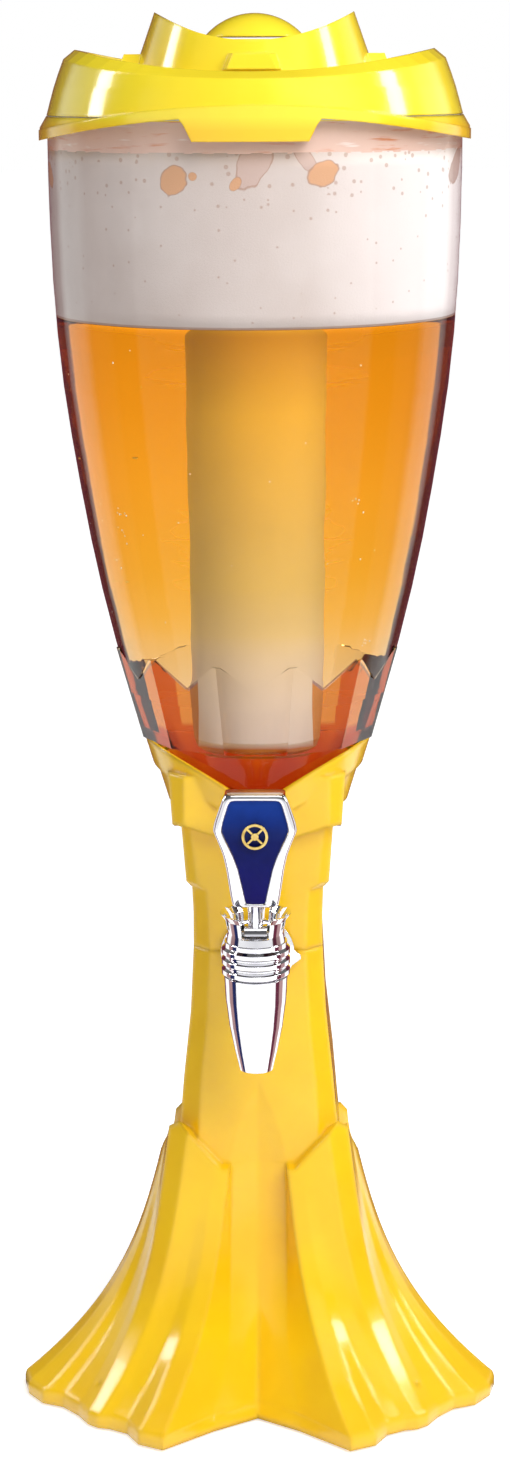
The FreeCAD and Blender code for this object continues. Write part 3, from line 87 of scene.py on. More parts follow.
def make_lamps():
    for count, (azimuth, elevation, distance, width, height, radiance, lights) in enumerate(LAMPS):
        data = bpy.data.lights.new("soft_box_%d" % count, "AREA")
        data.shape = "RECTANGLE"
        data.size = width
        data.size_y = height
        data.energy = radiance * math.pi * width * height
        lamp = bpy.data.objects.new(data.name, data)
        a, e = math.radians(azimuth), math.radians(elevation)
        away = Vector((math.sin(a) * math.cos(e), -math.cos(a) * math.cos(e), math.sin(e)))
        lamp.location = LAMP_AIM + away * distance
        lamp.rotation_euler = (-away).to_track_quat("-Z", "Y").to_euler()
        lamp.visible_glossy = lights == "gloss"
        lamp.visible_transmission = False
        lamp.visible_diffuse = lights == "matt"
        bpy.context.scene.collection.objects.link(lamp)


# ---------------------------------------------------------------- shader graphs

BEVEL_SAMPLES = 6


class Graph:
    """Node tree with short calls to add and join nodes."""

    def __init__(self, tree):
        self.tree = tree

    def join(self, value, socket):
        """Sets a socket to a plain value, or joins it to another node's output."""
        if isinstance(value, bpy.types.NodeSocket):
            self.tree.links.new(value, socket)
        else:
            socket.default_value = value

    def add(self, kind, inputs=None, **settings):
        node = self.tree.nodes.new(kind)
        for key, value in settings.items():
            setattr(node, key, value)
        for key, value in (inputs or {}).items():
            self.join(value, node.inputs[key])
        return node

    def math(self, operation, first, second=0.0, clamp=False):
        inputs = {0: first, 1: second}
        return self.add("ShaderNodeMath", inputs, operation=operation, use_clamp=clamp).outputs[0]

    def multiply(self, *factors):
        product = factors[0]
        for factor in factors[1:]:
            product = self.math("MULTIPLY", product, factor)
        return product

    def place(self):
        return self.add("ShaderNodeTexCoord").outputs["Object"]

    def axes(self, vector):
        return self.add("ShaderNodeSeparateXYZ", {"Vector": vector}).outputs

    def round_angle(self, axes):
        """Angle round the tower's axis, from the front towards the right."""
        return self.math("ARCTAN2", axes["X"], self.math("MULTIPLY", axes["Y"], -1.0))

    def noise(self, place, scale, detail=3.0, roughness=0.5):
        inputs = {"Vector": place, "Scale": scale, "Detail": detail, "Roughness": roughness}
        return self.add("ShaderNodeTexNoise", inputs).outputs["Fac"]

    def ramp(self, factor, stops):
        node = self.add("ShaderNodeValToRGB", {"Fac": factor})
        while len(node.color_ramp.elements) < len(stops):
            node.color_ramp.elements.new(1.0)
        for element, (position, colour) in zip(node.color_ramp.elements, stops):
            element.position = position
            element.color = (*colour, 1.0)
        return node.outputs["Color"]

    def span(self, value, low, high, out_low=0.0, out_high=1.0):
        """Moves a value from one range to another, and holds it at the ends."""
        inputs = {"Value": value, "From Min": low, "From Max": high, "To Min": out_low, "To Max": out_high}
        return self.add("ShaderNodeMapRange", inputs).outputs["Result"]

    def mix(self, factor, first, second):
        node = self.add("ShaderNodeMix", data_type="RGBA")
        self.join(factor, node.inputs[0])
        for key, colour in ((6, first), (7, second)):
            plain = not isinstance(colour, bpy.types.NodeSocket)
            self.join((*colour, 1.0) if plain else colour, node.inputs[key])
        return node.outputs[2]

    def scale(self, colour, amount):
        inputs = {0: colour, "Scale": amount}
        return self.add("ShaderNodeVectorMath", inputs, operation="SCALE").outputs["Vector"]

    def rounded(self, radius):
        """Normal with the edges rounded over."""
        return self.add("ShaderNodeBevel", {"Radius": radius}, samples=BEVEL_SAMPLES).outputs["Normal"]

    def bump(self, height, distance, strength=1.0, normal=None):
        inputs = {"Height": height, "Distance": distance, "Strength": strength}
        if normal is not None:
            inputs["Normal"] = normal
        return self.add("ShaderNodeBump", inputs).outputs["Normal"]


def new_material(name):
    material = bpy.data.materials.new(name)
    material.use_nodes = True
    shader = material.node_tree.nodes["Principled BSDF"]
    return material, Graph(material.node_tree), shader


# ---------------------------------------------------------------- room

FLOOR_SIZE = 30.0
FLOOR_COLOUR = 0.94
FLOOR_CLOUD = 0.01        # how much darker its cloudy patches are
FLOOR_GLOW = 0.56         # lifts the lit floor to white where it is seen
WORLD_LEVEL = 0.50        # light that reaches matt surfaces from all round
UPPER_DIM = 0.14          # share of the room's light that gloss sees high above
UPPER_RISE = (0.22, 0.5)  # upward part of a direction between which the room dims
WHITE = (1.0, 1.0, 1.0)
BRIGHT = (0.95, 0.95, 0.95)
SOFT = (0.9, 0.9, 0.9)
SILVER = (0.8, 0.8, 0.82)
DIM = (0.34, 0.20, 0.20)
MAUVE = (0.36, 0.12, 0.13)
ROSY = (0.52, 0.24, 0.17)
WINE = (0.07, 0.012, 0.025)
DUSK = (0.16, 0.03, 0.05)
NAVY = (0.008, 0.014, 0.08)
MAROON = (0.09, 0.012, 0.03)
# What gloss sees behind the object, by degrees away from straight behind
MIRRORED_BEHIND = [(0, DUSK), (36, DUSK), (46, WHITE), (66, WHITE), (74, DIM), (90, DIM)]


def mirrored_front(card):
    """What gloss sees on one side in front, by degrees away from straight in front."""
    return [(0, SILVER), (50, BRIGHT), (68, SOFT), (71, card), (86, card), (90, DIM)]


def seen_through(side):
    """What glass shows of the room on one side, by degrees away from the Y axis."""
    return [(0, WHITE), (44, WHITE), (46, WINE), (67, WINE), (73, side), (90, side)]


def room_colour(graph, axes, path):
    """The room in a direction: pale with dark cards, and other cards for what glass shows."""
    x, y = axes["X"], axes["Y"]
    angle = graph.math("ARCTAN2", graph.math("ABSOLUTE", x), graph.math("ABSOLUTE", y))
    share = graph.span(angle, 0.0, math.pi / 2)
    on_left = graph.math("LESS_THAN", x, 0.0)

    def cards(stops):
        return graph.ramp(share, [(degrees / 90, colour) for degrees, colour in stops])

    front = graph.mix(on_left, cards(mirrored_front(MAROON)), cards(mirrored_front(NAVY)))
    mirrored = graph.mix(graph.math("LESS_THAN", y, 0.0), cards(MIRRORED_BEHIND), front)
    seen = graph.mix(on_left, cards(seen_through(ROSY)), cards(seen_through(MAUVE)))
    return graph.mix(path["Is Transmission Ray"], mirrored, seen)


def make_world():
    world = bpy.data.worlds.new("studio")
    bpy.context.scene.world = world
    world.use_nodes = True
    graph = Graph(world.node_tree)
    world.node_tree.nodes.clear()
    path = graph.add("ShaderNodeLightPath").outputs
    axes = graph.axes(graph.add("ShaderNodeTexCoord").outputs["Generated"])
    room = room_colour(graph, axes, path)
    mirrored = graph.math("MAXIMUM", path["Is Glossy Ray"], path["Is Transmission Ray"])
    above = graph.span(axes["Z"], *UPPER_RISE, 1.0, UPPER_DIM)
    above = graph.math("MAXIMUM", above, path["Is Transmission Ray"])
    level = graph.mix(mirrored, (WORLD_LEVEL,) * 3, graph.scale(room, above))
    level = graph.mix(path["Is Camera Ray"], level, WHITE)
    light = graph.add("ShaderNodeBackground", {"Color": level})
    out = graph.add("ShaderNodeOutputWorld")
    world.node_tree.links.new(light.outputs[0], out.inputs[0])


def make_floor():
    half = FLOOR_SIZE / 2
    corners = [(-half, -half, 0), (half, -half, 0), (half, half, 0), (-half, half, 0)]
    floor = mesh_object("floor", corners, [(0, 1, 2, 3)])
    material, graph, shader = new_material("floor")
    path = graph.add("ShaderNodeLightPath").outputs
    place = graph.place()
    mirrored = graph.math("MAXIMUM", path["Is Glossy Ray"], path["Is Transmission Ray"])
    level = graph.mix(mirrored, WHITE, room_colour(graph, graph.axes(place), path))
    patches = graph.noise(place, scale=3.0, detail=2.0)
    cloud = graph.span(patches, 0.3, 0.7, FLOOR_COLOUR - FLOOR_CLOUD, FLOOR_COLOUR)
    seen = graph.math("MAXIMUM", path["Is Camera Ray"], mirrored)
    graph.join(graph.scale(level, cloud), shader.inputs["Base Color"])
    graph.join(level, shader.inputs["Emission Color"])
    graph.join(graph.multiply(seen, FLOOR_GLOW), shader.inputs["Emission Strength"])
    shader.inputs["Roughness"].default_value = 0.8
    shader.inputs["Specular IOR Level"].default_value = 0.1
    floor.data.materials.append(material)


# ---------------------------------------------------------------- meshes

ROUND_STEPS = 192


def mesh_object(name, points, faces, smooth=False):
    mesh = bpy.data.meshes.new(name)
    mesh.from_pydata(points, [], faces)
    mesh.polygons.foreach_set("use_smooth", [smooth] * len(mesh.polygons))
    piece = bpy.data.objects.new(name, mesh)
    bpy.context.scene.collection.objects.link(piece)
    return piece


def on_circle(radius, angle, height):
    return (radius * math.cos(angle), radius * math.sin(angle), height)


def ring_faces(rings, count):
    """Quads between closed rings of points."""
    faces = []
    for ring in range(rings - 1):
        low, high = ring * count, (ring + 1) * count
        for step in range(count):
            after = (step + 1) % count
            faces.append((low + step, low + after, high + after, high + step))
    return faces


def even(low, high, count):
    return [low + (high - low) * step / (count - 1) for step in range(count)]


# ---------------------------------------------------------------- plastics and metals

# painted shade: below these heights the lid's lower band, under the bell, is painted a deeper orange
LIP_SHADE_HEIGHTS = (0.5215, 0.5165)   # the lid deepens in colour between these
# painted reflection: the panel's blue, lighter at its upper end where it mirrors the light above
PANEL_BLUES_WITH_REFLECTION = [(0.0, (0.006, 0.003, 0.13)), (0.6, (0.002, 0.008, 0.12)), (1.0, (0.008, 0.045, 0.30))]


def plastic(name, light, dark, roughness, coat, grain, edge=0.0003, lip_shade=None):
    """Moulded plastic: faint flow marks in the colour, wiped patches in the gloss, fine orange peel."""
    material, graph, shader = new_material(name)
    place = graph.place()
    flow = graph.noise(place, scale=22.0, detail=4.0, roughness=0.6)
    colour = graph.ramp(flow, [(0.35, dark), (0.62, light)])
    # painted shade on the lid's lower band
    if lip_shade:
        colour = graph.mix(graph.span(graph.axes(place)["Z"], *LIP_SHADE_HEIGHTS), colour, lip_shade)
    wiped = graph.noise(place, scale=60.0, detail=5.0, roughness=0.65)
    gloss = graph.span(wiped, 0.3, 0.75, roughness * 0.75, roughness * 1.5)
    peel = graph.noise(place, scale=420.0, detail=2.0)
    graph.join(colour, shader.inputs["Base Color"])
    graph.join(gloss, shader.inputs["Roughness"])
    graph.join(graph.bump(peel, grain, 0.5, graph.rounded(edge)), shader.inputs["Normal"])
    shader.inputs["IOR"].default_value = 1.53
    shader.inputs["Coat Weight"].default_value = coat
    shader.inputs["Coat Roughness"].default_value = 0.04
    return material


def metal(name, light, dark, roughness, grain, scale, edge=0.0004):
    """Plated or bare metal with a slightly uneven polish."""
    material, graph, shader = new_material(name)
    place = graph.place()
    haze = graph.noise(place, scale, detail=4.0, roughness=0.6)
    graph.join(graph.ramp(haze, [(0.3, dark), (0.65, light)]), shader.inputs["Base Color"])
    graph.join(graph.span(haze, 0.3, 0.7, roughness * 1.6, roughness * 0.7), shader.inputs["Roughness"])
    uneven = graph.noise(place, scale * 4.0)
    graph.join(graph.bump(uneven, grain, 0.4, graph.rounded(edge)), shader.inputs["Normal"])
    shader.inputs["Metallic"].default_value = 1.0
    return material


def enamel():
    """Deep blue panel, with a painted reflection that makes it lighter towards its upper end."""
    material, graph, shader = new_material("handle_enamel")
    place = graph.place()
    cloud = graph.span(graph.noise(place, scale=160.0), 0.3, 0.7, 0.8, 1.0)
    # painted reflection: the blue lightens with height
    share = graph.span(graph.axes(place)["Z"], PANEL_SIDES[0][0], PANEL_SIDES[-1][0])
    polish = graph.span(graph.noise(place, scale=300.0), 0.3, 0.7, 0.08, 0.16)
    ripple = graph.bump(graph.noise(place, scale=500.0, detail=2.0), 0.00001, 0.3)
    graph.join(graph.scale(graph.ramp(share, PANEL_BLUES_WITH_REFLECTION), cloud), shader.inputs["Base Color"])
    graph.join(polish, shader.inputs["Roughness"])
    graph.join(ripple, shader.inputs["Normal"])
    shader.inputs["Specular IOR Level"].default_value = 0.12
    return material


def clear_plastic():
    """Clear moulded cup with very slight waves and a faint haze of wear; its shine is low."""
    material, graph, shader = new_material("clear_cup")
    place = graph.place()
    haze = graph.noise(place, scale=35.0)
    tint = graph.ramp(haze, [(0.3, (0.985, 0.98, 0.975)), (0.7, (1.0, 1.0, 0.995))])
    waves = graph.bump(graph.noise(place, scale=30.0, detail=1.0), 0.0002, 0.06)
    graph.join(tint, shader.inputs["Base Color"])
    graph.join(graph.span(haze, 0.4, 0.8, 0.0, 0.03), shader.inputs["Roughness"])
    graph.join(waves, shader.inputs["Normal"])
    shader.inputs["Transmission Weight"].default_value = 1.0
    shader.inputs["IOR"].default_value = 1.49
    shader.inputs["Specular Tint"].default_value = (0.3, 0.3, 0.3, 1.0)
    return material


# ---------------------------------------------------------------- the drink's sizes and colours

BEER_LOW = 0.2445
BEER_TOP = 0.4440
BEER_RINGS = 80
FOAM_TOP = 0.5085
FOAM_RINGS = 12
FOAM_DIP = 0.0002         # the foam's foot stands this far in the beer
FILM_TOP = 0.5196
FILM_DIP = 0.0004         # the film's foot stands this far in the foam
FILM_THICK = 0.0002
LID_GAP = 0.001           # room for the film where no lid stands inside it
WALL_OVERLAP = 0.0001     # drink and cup share their surface

BUBBLE_COUNT = 46
BUBBLE_HEIGHTS = (0.320, 0.436)
BUBBLE_SIZES = (0.00018, 0.00042)
# thicker groups of bubbles: degrees round from +X, height
BUBBLE_CLUSTERS = [(220, 0.362), (221, 0.371), (213, 0.350), (318, 0.318), (305, 0.377),
                   (40, 0.345), (128, 0.366)]
CLUSTER_COUNT = 6
CLUSTER_SPREAD = 1.6      # degrees
CLUSTER_RISE = 0.0018

# the cup's cut facets, whose upper edge zigzags round it
FACET_COUNT = 12
FACET_VALLEY_Z = 0.3010
FACET_PEAK_Z = 0.3115
FACET_DEPTH = 0.055
# painted shade on the drink below the zigzag, by share of the depth under it
FOOT_SHADE_BEER = [(0.0, (0.64, 0.10, 0.004)), (0.5, (0.60, 0.09, 0.004)),
             (0.7, (0.42, 0.03, 0.002)), (1.0, (0.36, 0.018, 0.001))]
# painted shade line along the facets' zigzag edge, standing in for the dark refraction there: its colour,
# and how far it reaches
EDGE_SHADE = (0.30, 0.10, 0.06)
EDGE_SHADE_HALF = (0.0009, 0.0004)   # distances from the zigzag at which its dark line ends and is full
# the drink's tint, deeper where the cup is wider, by share of the height from facets to foam
CLEAR_BEER = [(0.0, (0.96, 0.51, 0.090)), (0.25, (0.955, 0.42, 0.026)), (0.52, (0.957, 0.366, 0.016)),
              (0.75, (0.90, 0.31, 0.008)), (1.0, (0.81, 0.262, 0.005))]
NARROW_BEER = (0.90, 0.64, 0.42)  # the thin layer of drink before the tube's foot
NARROW_BEER_Z = 0.325

TUBE_FOOT_Z = 0.271
TUBE_SHOWN_HALF = 0.022   # half width in which the tube is seen through the drink
TUBE_SHOWN_RISE = (0.0075, 0.0055)   # above its foot, where the drink below starts to hide it
# painted light on the tube: the drink's amber light round it and the shade under the foam near its top, by
# its share of the height from its foot to the drink's top
TUBE_PAINTED_LIGHT = [(0.0, (0.68, 0.66, 0.74)), (0.28, (0.72, 0.68, 0.72)), (0.5, (0.70, 0.63, 0.55)),
             (0.8, (0.81, 0.67, 0.33)), (1.0, (0.58, 0.37, 0.17))]

FOAM_LIGHT = (0.68, 0.595, 0.56)
FOAM_DARK = (0.57, 0.475, 0.435)
# painted light: the foam's paler colour on its lit right side, and where it fades in
FOAM_PAINTED_LIGHT = (0.96, 0.88, 0.87)
FOAM_PAINTED_LIGHT_X = (0.02, 0.08)      # the foam pales between these towards the right
FOAM_PORE = (0.40, 0.22, 0.15)
FOAM_PORE_BAND = 0.035            # depth of the band at the top with more pores
# height of the painted shade line along the foam's foot
FOAM_FOOT_SHADE = 0.0008
FOAM_RADIUS = 0.088
PEACH = (0.66, 0.36, 0.20)
ROSE = (0.58, 0.43, 0.38)
# thin places in the foam: middle (across, height), length, width, tilt in degrees, colour
FOAM_WINDOWS = [
    ((-0.033, 0.4985), 0.012, 0.010, 10, PEACH),
    ((0.001, 0.504), 0.021, 0.011, 55, ROSE),
    ((-0.006, 0.4975), 0.006, 0.004, 50, PEACH),
    ((0.022, 0.507), 0.014, 0.006, -45, ROSE),
    ((0.030, 0.5005), 0.014, 0.009, 20, PEACH),
    ((-0.024, 0.500), 0.0035, 0.0028, 0, PEACH),
    ((0.115, 0.502), 0.018, 0.010, 30, ROSE),
    ((-0.120, 0.499), 0.015, 0.008, -25, PEACH),
    ((0.190, 0.504), 0.016, 0.009, 60, PEACH),
    ((-0.215, 0.501), 0.020, 0.010, 15, ROSE),
]
# bubble colours: amber drink tone, and a pale painted glint
BUBBLE_AMBER = (0.80, 0.42, 0.12)
BUBBLE_GLINT_PALE = (1.0, 0.93, 0.80)
FILM_PINK = (0.72, 0.50, 0.42)
FILM_PALE = (0.85, 0.78, 0.76)
FILM_ORANGE = (0.62, 0.20, 0.07)

# ---------------------------------------------------------------- tube and drink materials


def frosted_plastic():
    """Frosted tube with painted light: golden where much drink stands round it, paler towards its narrow
    end, and with painted shade under the foam at its top.
    """
    material, graph, shader = new_material("frosted_tube")
    place = graph.place()
    cloud = graph.noise(place, scale=40.0, detail=4.0)
    # painted light and shade by height, in place of the drink's light on the tube
    drink = graph.ramp(graph.span(graph.axes(place)["Z"], TUBE_FOOT_Z, BEER_TOP), TUBE_PAINTED_LIGHT)
    frost = graph.bump(graph.noise(place, scale=900.0), 0.00005, 0.5)
    graph.join(graph.scale(drink, graph.span(cloud, 0.3, 0.7, 0.93, 1.0)), shader.inputs["Base Color"])
    graph.join(graph.span(cloud, 0.3, 0.7, 0.34, 0.46), shader.inputs["Roughness"])
    graph.join(frost, shader.inputs["Normal"])
    return material


def beer_material():
    """Clear amber drink, with painted shade in the cup's cut foot (not in front of the tube) and a painted
    shade line along the facets' zigzag edge.
    """
    material, graph, shader = new_material("beer")
    place = graph.place()
    cloud = graph.noise(place, scale=18.0)
    axes = graph.axes(place)
    half_facet = math.pi / FACET_COUNT
    turn = graph.math("PINGPONG", graph.round_angle(axes), half_facet)
    zigzag = graph.span(turn, 0.0, half_facet, FACET_VALLEY_Z, FACET_PEAK_Z)
    depth = graph.math("SUBTRACT", zigzag, axes["Z"])
    # painted shade: the drink darkens the further it lies below the zigzag
    foot_shade = graph.ramp(graph.span(depth, 0.0, FACET_DEPTH), FOOT_SHADE_BEER)
    beside_tube = graph.math("GREATER_THAN", graph.math("ABSOLUTE", axes["X"]), TUBE_SHOWN_HALF)
    below_tube = graph.span(axes["Z"], *[TUBE_FOOT_Z + rise for rise in TUBE_SHOWN_RISE])
    shown = graph.math("MAXIMUM", beside_tube, below_tube)
    foot_shade_share = graph.multiply(graph.math("GREATER_THAN", depth, 0.0), shown)
    # painted shade line at the zigzag, broken up by noise
    edge_shade_mask = graph.span(graph.math("ABSOLUTE", depth), *EDGE_SHADE_HALF)
    edge_shade_mask = graph.multiply(edge_shade_mask, beside_tube, graph.span(cloud, 0.42, 0.55))
    share = graph.span(axes["Z"], FACET_PEAK_Z, BEER_TOP)
    clear = graph.scale(graph.ramp(share, CLEAR_BEER), graph.span(cloud, 0.3, 0.7, 0.98, 1.0))
    clear = graph.mix(graph.span(axes["Z"], NARROW_BEER_Z, TUBE_FOOT_Z), clear, NARROW_BEER)
    colour = graph.mix(edge_shade_mask, graph.mix(foot_shade_share, clear, foot_shade), EDGE_SHADE)
    graph.join(colour, shader.inputs["Base Color"])
    shader.inputs["Transmission Weight"].default_value = 1.0
    shader.inputs["Roughness"].default_value = 0.0
    shader.inputs["IOR"].default_value = 1.34
    shader.inputs["Specular Tint"].default_value = (0.1, 0.1, 0.1, 1.0)
    return material


def blot(graph, across, height, centre, length, width, tilt, ragged):
    """Mask of one ragged oval on the foam: 1 at its middle, 0 outside."""
    away = graph.math("SUBTRACT", across, centre[0])
    rise = graph.math("SUBTRACT", height, centre[1])
    cosine, sine = math.cos(math.radians(tilt)), math.sin(math.radians(tilt))
    along = graph.math("ADD", graph.multiply(away, cosine), graph.multiply(rise, sine))
    aside = graph.math("SUBTRACT", graph.multiply(rise, cosine), graph.multiply(away, sine))
    long_part = graph.math("POWER", graph.math("DIVIDE", along, length / 2), 2.0)
    wide_part = graph.math("POWER", graph.math("DIVIDE", aside, width / 2), 2.0)
    reach = graph.math("ADD", graph.math("ADD", long_part, wide_part), ragged)
    return graph.span(reach, 1.15, 0.85)


def foam_material():
    """Dense foam: fine pores, more of them near the top, thin amber windows near the rim, painted light
    that pales it towards the right, and a painted shade line along its foot.
    """
    material, graph, shader = new_material("foam")
    place = graph.place()
    axes = graph.axes(place)
    tone = graph.noise(place, scale=14.0, detail=5.0, roughness=0.6)
    colour = graph.ramp(tone, [(0.32, FOAM_DARK), (0.68, FOAM_LIGHT)])
    # painted light: the foam pales towards the right, where the light falls
    colour = graph.mix(graph.span(axes["X"], *FOAM_PAINTED_LIGHT_X), colour, FOAM_PAINTED_LIGHT)
    upper = graph.span(axes["Z"], FOAM_TOP - FOAM_PORE_BAND, FOAM_TOP)
    freckles = graph.add("ShaderNodeTexVoronoi", {"Vector": place, "Scale": 330.0}).outputs
    pore = graph.math("LESS_THAN", freckles["Distance"], graph.span(upper, 0.0, 1.0, 0.16, 0.30))
    chance = graph.add("ShaderNodeSeparateColor", {"Color": freckles["Color"]}).outputs[0]
    chosen = graph.math("LESS_THAN", chance, graph.span(upper, 0.0, 1.0, 0.16, 0.5))
    colour = graph.mix(graph.multiply(pore, chosen, 0.5), colour, FOAM_PORE)
    across = graph.multiply(graph.round_angle(axes), FOAM_RADIUS)
    unevenness = graph.math("SUBTRACT", graph.noise(place, scale=150.0, detail=2.0), 0.5)
    ragged = graph.multiply(unevenness, 1.6)
    for centre, length, width, tilt, inner in FOAM_WINDOWS:
        mask = blot(graph, across, axes["Z"], centre, length, width, tilt, ragged)
        edge = graph.multiply(mask, graph.math("SUBTRACT", 1.0, mask))
        colour = graph.mix(mask, colour, inner)
        colour = graph.mix(graph.math("MULTIPLY", edge, 2.6, clamp=True), colour, FOAM_PORE)
    # painted shade along the foam's foot, where it meets the drink
    foot = graph.math("LESS_THAN", axes["Z"], BEER_TOP + FOAM_FOOT_SHADE)
    colour = graph.mix(graph.multiply(foot, 0.7), colour, FOAM_PORE)
    fine = graph.noise(place, scale=1400.0, detail=2.0)
    graph.join(colour, shader.inputs["Base Color"])
    graph.join(graph.bump(fine, 0.0002, 0.4), shader.inputs["Normal"])
    shader.inputs["Roughness"].default_value = 0.6
    return material


def bubble_material():
    material, graph, shader = new_material("air_bubble")
    tone = graph.noise(graph.place(), scale=700.0, detail=2.0)
    # painted glints: opaque bubbles with random pale patches for their highlights
    graph.join(graph.ramp(tone, [(0.35, BUBBLE_AMBER), (0.6, BUBBLE_GLINT_PALE)]), shader.inputs["Base Color"])
    shader.inputs["Roughness"].default_value = 0.08
    return material


def film_material():
    """Thin dried foam: pale pink, with orange runs where the drink shows through."""
    material, graph, shader = new_material("foam_film")
    place = graph.place()
    axes = graph.axes(place)
    across = graph.multiply(graph.round_angle(axes), 2.2)
    inputs = {0: across, 1: 0.0, 2: graph.multiply(axes["Z"], 260.0)}
    along = graph.add("ShaderNodeCombineXYZ", inputs).outputs[0]
    streak = graph.noise(along, scale=1.6, detail=3.0, roughness=0.6)
    stops = [(0.30, FILM_ORANGE), (0.42, FILM_PINK), (0.62, FILM_PINK), (0.74, FILM_PALE)]
    ripple = graph.bump(graph.noise(place, scale=500.0, detail=2.0), 0.0002, 0.3)
    graph.join(graph.ramp(streak, stops), shader.inputs["Base Color"])
    graph.join(ripple, shader.inputs["Normal"])
    shader.inputs["Roughness"].default_value = 0.35
    return material


# ---------------------------------------------------------------- drink


def inner_radius(tree, angle, height):
    """Distance from the axis to the first wall at a height."""
    hit = tree.ray_cast(Vector((0, 0, height)), Vector(on_circle(1.0, angle, 0)))[0]
    return math.hypot(hit.x, hit.y)


def middle_angle(step):
    return 2 * math.pi * (step + 0.5) / ROUND_STEPS


def drink_mesh(name, tree, heights):
    """Body of liquid or foam that fills the cup between the first height and the last."""
    points = []
    for height in heights:
        for step in range(ROUND_STEPS):
            angle = middle_angle(step)
            points.append(on_circle(inner_radius(tree, angle, height) + WALL_OVERLAP, angle, height))
    faces = ring_faces(len(heights), ROUND_STEPS)
    top = (len(heights) - 1) * ROUND_STEPS
    faces.append(tuple(reversed(range(ROUND_STEPS))))
    faces.append(tuple(range(top, top + ROUND_STEPS)))
    piece = mesh_object(name, points, faces, smooth=True)
    piece.data.polygons[-1].use_smooth = False
    piece.data.polygons[-2].use_smooth = False
    return piece


def bubble_mesh(tree):
    """Small air bubbles that cling to the inside of the cup."""
    rng = random.Random(7)
    shape = bmesh.new()
    places = [(rng.uniform(0, 2 * math.pi), rng.uniform(*BUBBLE_HEIGHTS)) for _ in range(BUBBLE_COUNT)]
    for angle, height in BUBBLE_CLUSTERS:
        for _ in range(CLUSTER_COUNT):
            near = math.radians(angle + rng.gauss(0, CLUSTER_SPREAD))
            places.append((near, height + rng.gauss(0, CLUSTER_RISE)))
    for angle, height in places:
        radius = inner_radius(tree, angle, height) + WALL_OVERLAP
        size = rng.uniform(*BUBBLE_SIZES)
        spot = Matrix.Translation(on_circle(radius, angle, height))
        bmesh.ops.create_icosphere(shape, subdivisions=1, radius=size, matrix=spot)
    mesh = bpy.data.meshes.new("wall_bubbles")
    shape.to_mesh(mesh)
    shape.free()
    mesh.polygons.foreach_set("use_smooth", [True] * len(mesh.polygons))
    bubbles = bpy.data.objects.new("wall_bubbles", mesh)
    bpy.context.scene.collection.objects.link(bubbles)
    return bubbles


def film_mesh(cup, lid):
    """Ring of drying foam that clings to the cup's wall, from the foam's top to the rim."""
    points = []
    for height in (FOAM_TOP - FILM_DIP, FILM_TOP):
        for step in range(ROUND_STEPS):
            angle = middle_angle(step)
            wall = inner_radius(cup, angle, height)
            inward = Vector(on_circle(-1.0, angle, 0))
            gap = lid.ray_cast(Vector(on_circle(wall, angle, height)), inward)[3] or LID_GAP
            points.append(on_circle(wall + WALL_OVERLAP, angle, height))
            points.append(on_circle(wall - min(FILM_THICK, gap / 2), angle, height))
    faces = []
    above = 2 * ROUND_STEPS
    for step in range(ROUND_STEPS):
        here, after = 2 * step, 2 * ((step + 1) % ROUND_STEPS)
        faces.append((here, after, above + after, above + here))
        faces.append((after + 1, here + 1, above + here + 1, above + after + 1))
        faces.append((here + 1, after + 1, after, here))
        faces.append((above + here, above + after, above + after + 1, above + here + 1))
    return mesh_object("foam_film", points, faces)


def make_drink():
    depsgraph = bpy.context.evaluated_depsgraph_get()
    cup = BVHTree.FromObject(nodes["cup"], depsgraph)
    lid = BVHTree.FromObject(nodes["lid_shell"], depsgraph)
    beer = drink_mesh("beer", cup, even(BEER_LOW, BEER_TOP, BEER_RINGS))
    beer.data.materials.append(beer_material())
    foam = drink_mesh("foam", cup, even(BEER_TOP - FOAM_DIP, FOAM_TOP, FOAM_RINGS))
    foam.data.materials.append(foam_material())
    film = film_mesh(cup, lid)
    film.data.materials.append(film_material())
    bubbles = bubble_mesh(cup)
    bubbles.data.materials.append(bubble_material())
    # light reaches the drink and the tube through the cup as it does in thin clear plastic
    for clear in (nodes["cup"], beer, foam, film):
        clear.visible_shadow = False
        clear.visible_diffuse = False
    for piece in (film, bubbles, beer, foam):
        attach(piece, "stand")


# ---------------------------------------------------------------- handle

TAP_Y = -0.062
# the handle's sides: height, half width, half depth
HANDLE_SIDES = [
    (0.2170, 0.0090, 0.0036), (0.2220, 0.0100, 0.0046), (0.2330, 0.0116, 0.0052),
    (0.2390, 0.0129, 0.0059), (0.2440, 0.0147, 0.0065), (0.2490, 0.0167, 0.0068),
    (0.2525, 0.0160, 0.0066), (0.2618, 0.0127, 0.0054), (0.2638, 0.0114, 0.0040),
]
# the blue panel in its front: height, half width
PANEL_SIDES = [
    (0.2188, 0.0036), (0.2260, 0.0050), (0.2334, 0.0066), (0.2390, 0.0084), (0.2440, 0.0106),
    (0.2490, 0.0127), (0.2522, 0.0122), (0.2590, 0.0102), (0.2606, 0.0094),
]
SIDE_STEPS = 40
END_STEPS = 3
# section of the chrome from the back's edge round to the panel: share of the way in, place
# from front (0) to back (1)
FRAME_SECTION = [
    (0.30, 1.0), (0.06, 0.97), (0.0, 0.86), (0.0, 0.26), (0.05, 0.12), (0.18, 0.03),
    (0.42, 0.0), (0.70, 0.01), (0.90, 0.05), (1.0, 0.10), (1.0, 0.17),
]
BACK_INSET = 0.8          # share of the way in at which the flat back begins
PANEL_PLACE = 0.115
PANEL_CROWN = 0.0003
PANEL_MIDDLE_Z = 0.243
PANEL_RINGS = (1.0, 0.93, 0.75, 0.5, 0.25)


def between(stations, height, column):
    """Straight-line value of a column at a height."""
    for low, high in zip(stations, stations[1:]):
        if height <= high[0]:
            share = (height - low[0]) / (high[0] - low[0])
            return low[column] + (high[column] - low[column]) * share
    return stations[-1][column]


